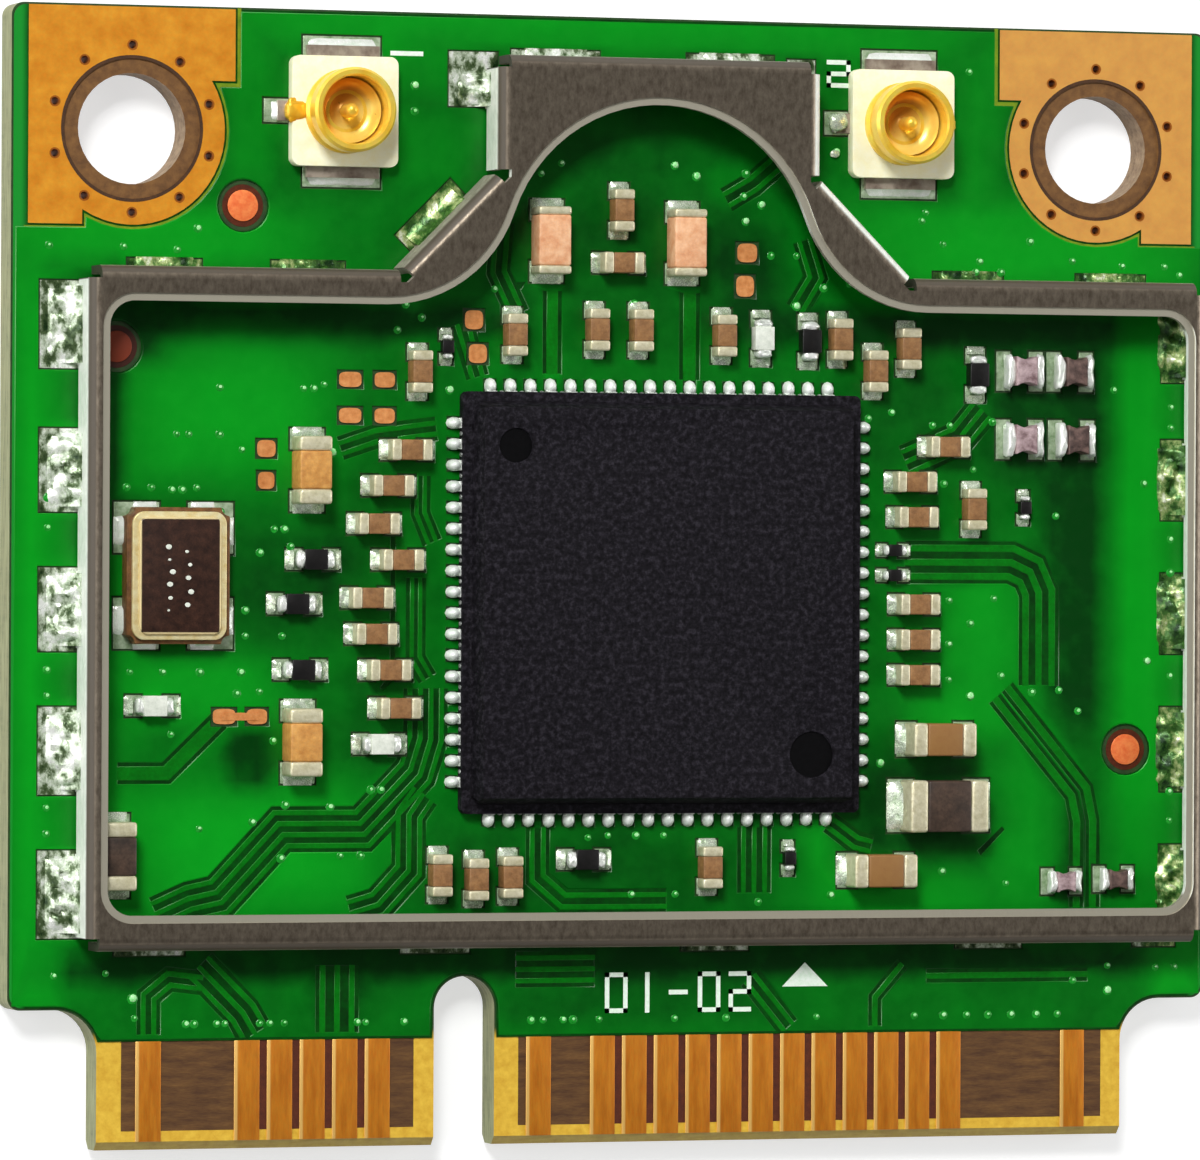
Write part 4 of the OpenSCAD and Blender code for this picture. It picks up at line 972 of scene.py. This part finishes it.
# Empty pads: rounded, one pair joined by a link
pads = []
for lo, hi, g in islands("empty_pads"):
    (cx, cy), hx, hy = middle(lo, hi), (hi[0] - lo[0]) / 2, (hi[1] - lo[1]) / 2
    pads.append(sheet_poly([(cx + hx * math.copysign(abs(math.cos(a)) ** 0.55, math.cos(a)),
                             cy + hy * math.copysign(abs(math.sin(a)) ** 0.55, math.sin(a)))
                            for a in (2 * math.pi * k / 28 for k in range(28))], hi[2], 0.012))
bag("empty_pads_rounded", "copper", pads, "empty_pads")
pair = [(lo, hi) for lo, hi, g in islands("empty_pads") if lo[0] < -8.5 and -4.2 < lo[1] < -2.8]
low = sum(lo[1] + hi[1] for lo, hi in pair) / 2 / len(pair)
x0, x1 = min(lo[0] for lo, hi in pair) + 0.2, max(hi[0] for lo, hi in pair) - 0.2
bag("pad_link", "copper", [sheet_poly(rect(x0, low - 0.09, x1, low + 0.09), 1.012, 0.02)])

# Solder at the parts, the frame, the crystal and the sockets
parts = [solder_face(*box, 0.05, 0.04, k) for k, box in enumerate(islands("component_solder"))]
bag("component_solder_drawn", "lump", parts, "component_solder")
parts = []
for k, (lo, hi, g) in enumerate(islands("shield_solder")):
    if (hi[0] - lo[0]) > 1 and (hi[1] - lo[1]) > 1:
        continue
    big = min(hi[0] - lo[0], hi[1] - lo[1]) > 0.4
    parts.append(solder_face(lo, hi, g, 0.22 if big else 0.06, 0.16 if big else 0.08, 3 * k, 23, 9, 0.8))
bag("shield_solder_drawn", "foot", parts)
parts = [solder_face(*box, 0.03, 0.02, k)
         for k, box in enumerate(islands("crystal_solder") + islands("socket_solder"))]
bag("small_solder_drawn", "blob", parts, "crystal_solder")
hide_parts("socket_solder")

# Chip leads: a bright lump at each lead's foot, and the cut frame ends between them
lumps, stubs = [], []
for side in range(4):
    a = side * math.pi / 2
    for k in range(LEADS):
        off = (k - (LEADS - 1) / 2) * LEAD_PITCH
        r = 5.14 + rng.uniform(-0.01, 0.01)
        x, y = r * math.cos(a) - off * math.sin(a), r * math.sin(a) + off * math.cos(a)
        lumps.append(dome(CHIP_X + x, CHIP_Y + y, BOARD_TOP, 0.2, 0.145, 0.26, 10, 4, a))
        if k < LEADS - 1:
            off += LEAD_PITCH / 2
            x, y = 4.99 * math.cos(a) - off * math.sin(a), 4.99 * math.sin(a) + off * math.cos(a)
            stubs.append(dome(CHIP_X + x, CHIP_Y + y, 1.14, 0.05, 0.06, 0.1, 8, 3, a))
bag("lead_solder", "bead", lumps)
bag("lead_frame_ends", "stub", stubs)
bag("chip_dimples", "dimple", [
    sheet_poly(disc(CHIP_X - 3.85, CHIP_Y + 3.72, 0.4, 32), 1.803, 0.002),
    sheet_poly(disc(CHIP_X + 3.6, CHIP_Y - 3.6, 0.54, 36), 1.803, 0.002)])

# Covered vias: green domes with a painted highlight in the middle, larger at the listed glints. One row
# shares its y; the others are pairs of x and y
VIAS_IN_ROW = """-10.7 -10.5 -9.95 -9.75 -8.9 -8.65 -8.3 -6.5 -6.3 -5.35 -2.2 -1.9 -1.4 -1.15 -0.5 1.4 2.7
5.0 7.5 8.25 8.85 9.4 10.0 10.65 11.2"""
VIAS = """12.5 -9.1 13.75 -9.15 14.25 -9.15 11.6 -9.45 -11.95 -10.1 -12.65 -9.05 -13.9 -9.1 -14.1 7.85
-12.3 7.85 -11.0 7.8 -10.5 8.3 -9.95 4.6 -11.0 3.5 -10.7 3.5 -9.95 3.5 -9.4 3.15 -12.2 2.25 -11.6 2.25
-11.1 2.2 -10.85 2.2 -10.5 2.25 -7.9 4.6 -7.65 4.6 -8.6 1.3 -8.35 1.3 -8.95 0.75 -9.3 -0.6 -9.3 -1.2
-8.4 -1.2 -12.1 -2.05 -11.3 -2.05 -10.4 -2.05 -9.4 -2.05 -9.5 -2.55 -8.95 -2.5 -11.1 -3.5 -8.6 -3.65
-8.3 -5.15 -9.1 -5.55 -10.4 -5.7 -8.4 -6.4 -5.2 11.15 -2.05 9.75 -1.55 10.0 3.1 9.85 3.05 9.3 3.75 7.9
4.4 7.9 5.1 7.15 5.75 7.25 0.3 6.7 8.8 12.4 8.15 8.25 10.4 8.35 9.1 7.85 9.0 7.6 9.65 7.6 11.5 7.9
12.8 7.8 13.9 7.8 14.3 7.6 7.6 8.8 13.4 2.55 12.6 4.8 11.1 1.75 9.45 4.0 7.9 3.9 8.35 3.9 8.95 2.85
8.2 2.5 8.35 -0.3 8.35 -1.35 8.35 -2.2 9.5 -0.25 8.9 -0.85 9.7 -2.1 10.5 -2.5 11.2 -2.45 11.7 -2.95
6.25 4.05 6.85 4.2 -7.2 -5.2 -6.2 -4.8 -5.95 -4.8 -6.45 -6.35 -6.95 -6.35 -0.8 -5.95 -0.3 -5.9 0.4 -5.9
1.1 -5.9 3.5 -7.5 5.35 -7.35 0.3 -7.3 1.4 -7.3 8.2 -6.8 9.85 -7.1 -8.2 0.9 -9.9 1.7 -5.0 6.3 -5.6 6.0
-7.4 4.7 -5.4 6.6 -3.2 7.0 7.0 6.9 7.7 9.0 14.1 4.4 14.1 3.9 14.1 1.2 14.1 0.4 14.1 -2.1 14.1 -4.9
14.1 -5.6 -14.1 2.0 -14.1 1.3 -14.1 -2.0 -14.1 -2.6 -14.1 -5.2 -14.1 -5.8"""
GLINTS = """12.5 -9.7 -12.0 -9.65 -5.2 11.75 1.3 10.0 1.85 9.75 3.5 9.1 3.1 8.7 5.4 10.4 13.5 -1.75
6.6 -4.2 5.72 4.35 -4.3 4.6 -7.2 3.1 4.4 6.7 8.9 -2.6"""


def pairs(text):
    nums = [float(t) for t in text.split()]
    return list(zip(nums[::2], nums[1::2]))


rims, middles = [], []
row = [(float(x), VIA_ROW) for x in VIAS_IN_ROW.split()]
for spots, bright in ((row + pairs(VIAS), 0), (pairs(GLINTS), 1)):
    for x, y in spots:
        x, y = fit(x, y)
        r = rng.uniform(0.09, 0.12) + 0.02 * bright
        rims.append(dome(x, y, 1.003, r, r, 0.012, 12, 3, 0.0, 0.012))
        q = r * (0.75 if bright else rng.uniform(0.3, 0.55))
        middles.append(dome(x + 0.02, y + 0.02, 1.006, q, q, 0.018 + 0.02 * bright, 8, 3, 0.0, 0.0, 0.01))
bag("covered_vias", "via", rims)
bag("via_glint_domes", "via_glint", middles)

# White printed marks: a pin-one triangle and plain numbers
STROKES = {"0": [(0, 0), (1, 0), (1, 1), (0, 1), (0, 0)], "1": [(0.5, 0), (0.5, 1)],
           "2": [(0, 1), (1, 1), (1, 0.5), (0, 0.5), (0, 0), (1, 0)], "-": [(0.1, 0.5), (0.9, 0.5)]}
marks = [sheet_poly([fit(4.12, -9.52), fit(5.28, -9.52), fit(4.7, -8.95)], *INK)]


def printed(text, x, y, w, h, step, up=(0, 1)):
    """Add one line of print; up is the way its characters stand."""
    for k, ch in enumerate(text):
        pts = []
        for u, v in STROKES[ch]:
            a, b = k * step + u * w, v * h
            pts.append(fit(x + a * up[1] + b * up[0], y + b * up[1] - a * up[0]))
        for a, b in zip(pts, pts[1:]):
            d = math.hypot(b[0] - a[0], b[1] - a[1])
            e = ((b[0] - a[0]) / d * PEN / 2, (b[1] - a[1]) / d * PEN / 2)
            ends = [(a[0] - e[0], a[1] - e[1]), (b[0] + e[0], b[1] + e[1])]
            marks.append(sheet_poly(ribbon(ends, PEN / 2), *INK))


printed("01-02", -0.3, -10.05, 0.46, 0.85, 0.78)
printed("1", -5.75, 12.75, 0.5, 0.7, 0.6, (1, 0))
printed("2", 5.2, 12.0, 0.5, 0.55, 0.6)
bag("printed_marks", "silk", marks)

# Bare tab: dark inner copper seen through the laminate, set in from the clear edge
bag("inner_copper", "inner", [
    sheet_poly(rect(x0, TAB_LOW, x1, TAB_TOP), 0.9635, 0.003) for x0, x1 in ((-12.25, -5.1), (-2.5, 12.35))])

cons = sorted((lo[0], hi[0]) for lo, hi, g in islands("edge_contacts_top"))
bag("contact_gaps", "gap", [
    sheet_poly(rect(a[1] + 0.005, TAB_LOW, b[0] - 0.005, TAB_TOP), 0.9645, 0.003)
    for a, b in zip(cons, cons[1:]) if b[0] - a[1] < 0.5])


def band(outer, inner, z):
    """A flat ring between two outlines."""
    n = len(outer)
    v = [(a, b, z) for a, b in outer] + [(a, b, z) for a, b in inner]
    return v, [(k, (k + 1) % n, (k + 1) % n + n, k + n) for k in range(n)]


def land_outline(s, g):
    """The edge of one gold land, grown by g, at the left or the right."""
    r, steps = 2.25 + g, 20
    a0 = math.asin((1.16 - g) / r)
    a1 = math.acos((1.2 - g) / r)
    pts = [(-2.5 - g, 2.88), (-2.5 - g, 1.16 - g), (-r * math.cos(a0), 1.16 - g)]
    start, end = math.pi - a0, 2 * math.pi - a1
    turns = [start + (end - start) * k / steps for k in range(1, steps + 1)]
    pts += [(r * math.cos(t), r * math.sin(t)) for t in turns]
    pts += [(1.2 - g, -r), (2.6, -r)]
    return [(s * (HOLE_X + px), HOLE_Y + py) for px, py in pts]


bag("land_ring_lines", "ring_line", [
    band(disc(sx, HOLE_Y, 1.72, 72), disc(sx, HOLE_Y, 1.64, 72), 1.0005) for sx in (-HOLE_X, HOLE_X)])
bag("dot_rings", "dot_ring", [
    band(disc(*middle(lo, hi), 0.5, 32), disc(*middle(lo, hi), 0.34, 32), 0.967)
    for lo, hi, g in islands("fiducial_dots")])

# The lacquer thins to yellow-green round the lands
halos = []
for s_ in (-1, 1):
    inner, outer = land_outline(s_, 0.05), land_outline(s_, 0.14)
    n = len(inner)
    v = [(a, b, 0.9915) for a, b in inner] + [(a, b, 0.9915) for a, b in outer]
    quads = [(k, k + 1, k + 1 + n, k + n) for k in range(n - 1)]
    halos.append((v, quads if s_ < 0 else [q[::-1] for q in quads]))
bag("land_halos", "halo", halos)

# Crystal lid: pale worn specks where its laser marks were
specks = []
for k in range(11):
    x = -11.3 + (0.45 if k % 2 else 0.0) + rng.uniform(-0.06, 0.06)
    y = -0.75 + k * 0.15 + rng.uniform(-0.03, 0.03)
    r = rng.uniform(0.04, 0.1)
    specks.append(dome(x, y, 1.65, r, r * 0.8, 0.004, 9, 2))
bag("lid_specks", "pale", specks)

# Floor: pale, just under the card
me = bpy.data.meshes.new("floor")
me.from_pydata([(-3, -3, -2e-5), (3, -3, -2e-5), (3, 3, -2e-5), (-3, 3, -2e-5)], [], [(0, 1, 2, 3)])
floor = bpy.data.objects.new("floor", me)
scene.collection.objects.link(floor)
fm = Mat("floor", rough=0.9)
fm.color(fm.ramp(fm.noise(0.02, 2.0), [(0.3, (0.5, 0.5, 0.5)), (0.7, (0.52, 0.52, 0.52))]))
path = fm.t.nodes.new("ShaderNodeLightPath")
seen = fm.math("ADD", path.outputs["Is Camera Ray"], path.outputs["Is Glossy Ray"], clamp=True)
seen = fm.math("ADD", seen, path.outputs["Is Transmission Ray"], clamp=True)
fm.p.inputs["Emission Color"].default_value = (1, 1, 1, 1)
fm.put(fm.p.inputs["Emission Strength"], fm.mul(seen, 0.62))
me.materials.append(fm.m)
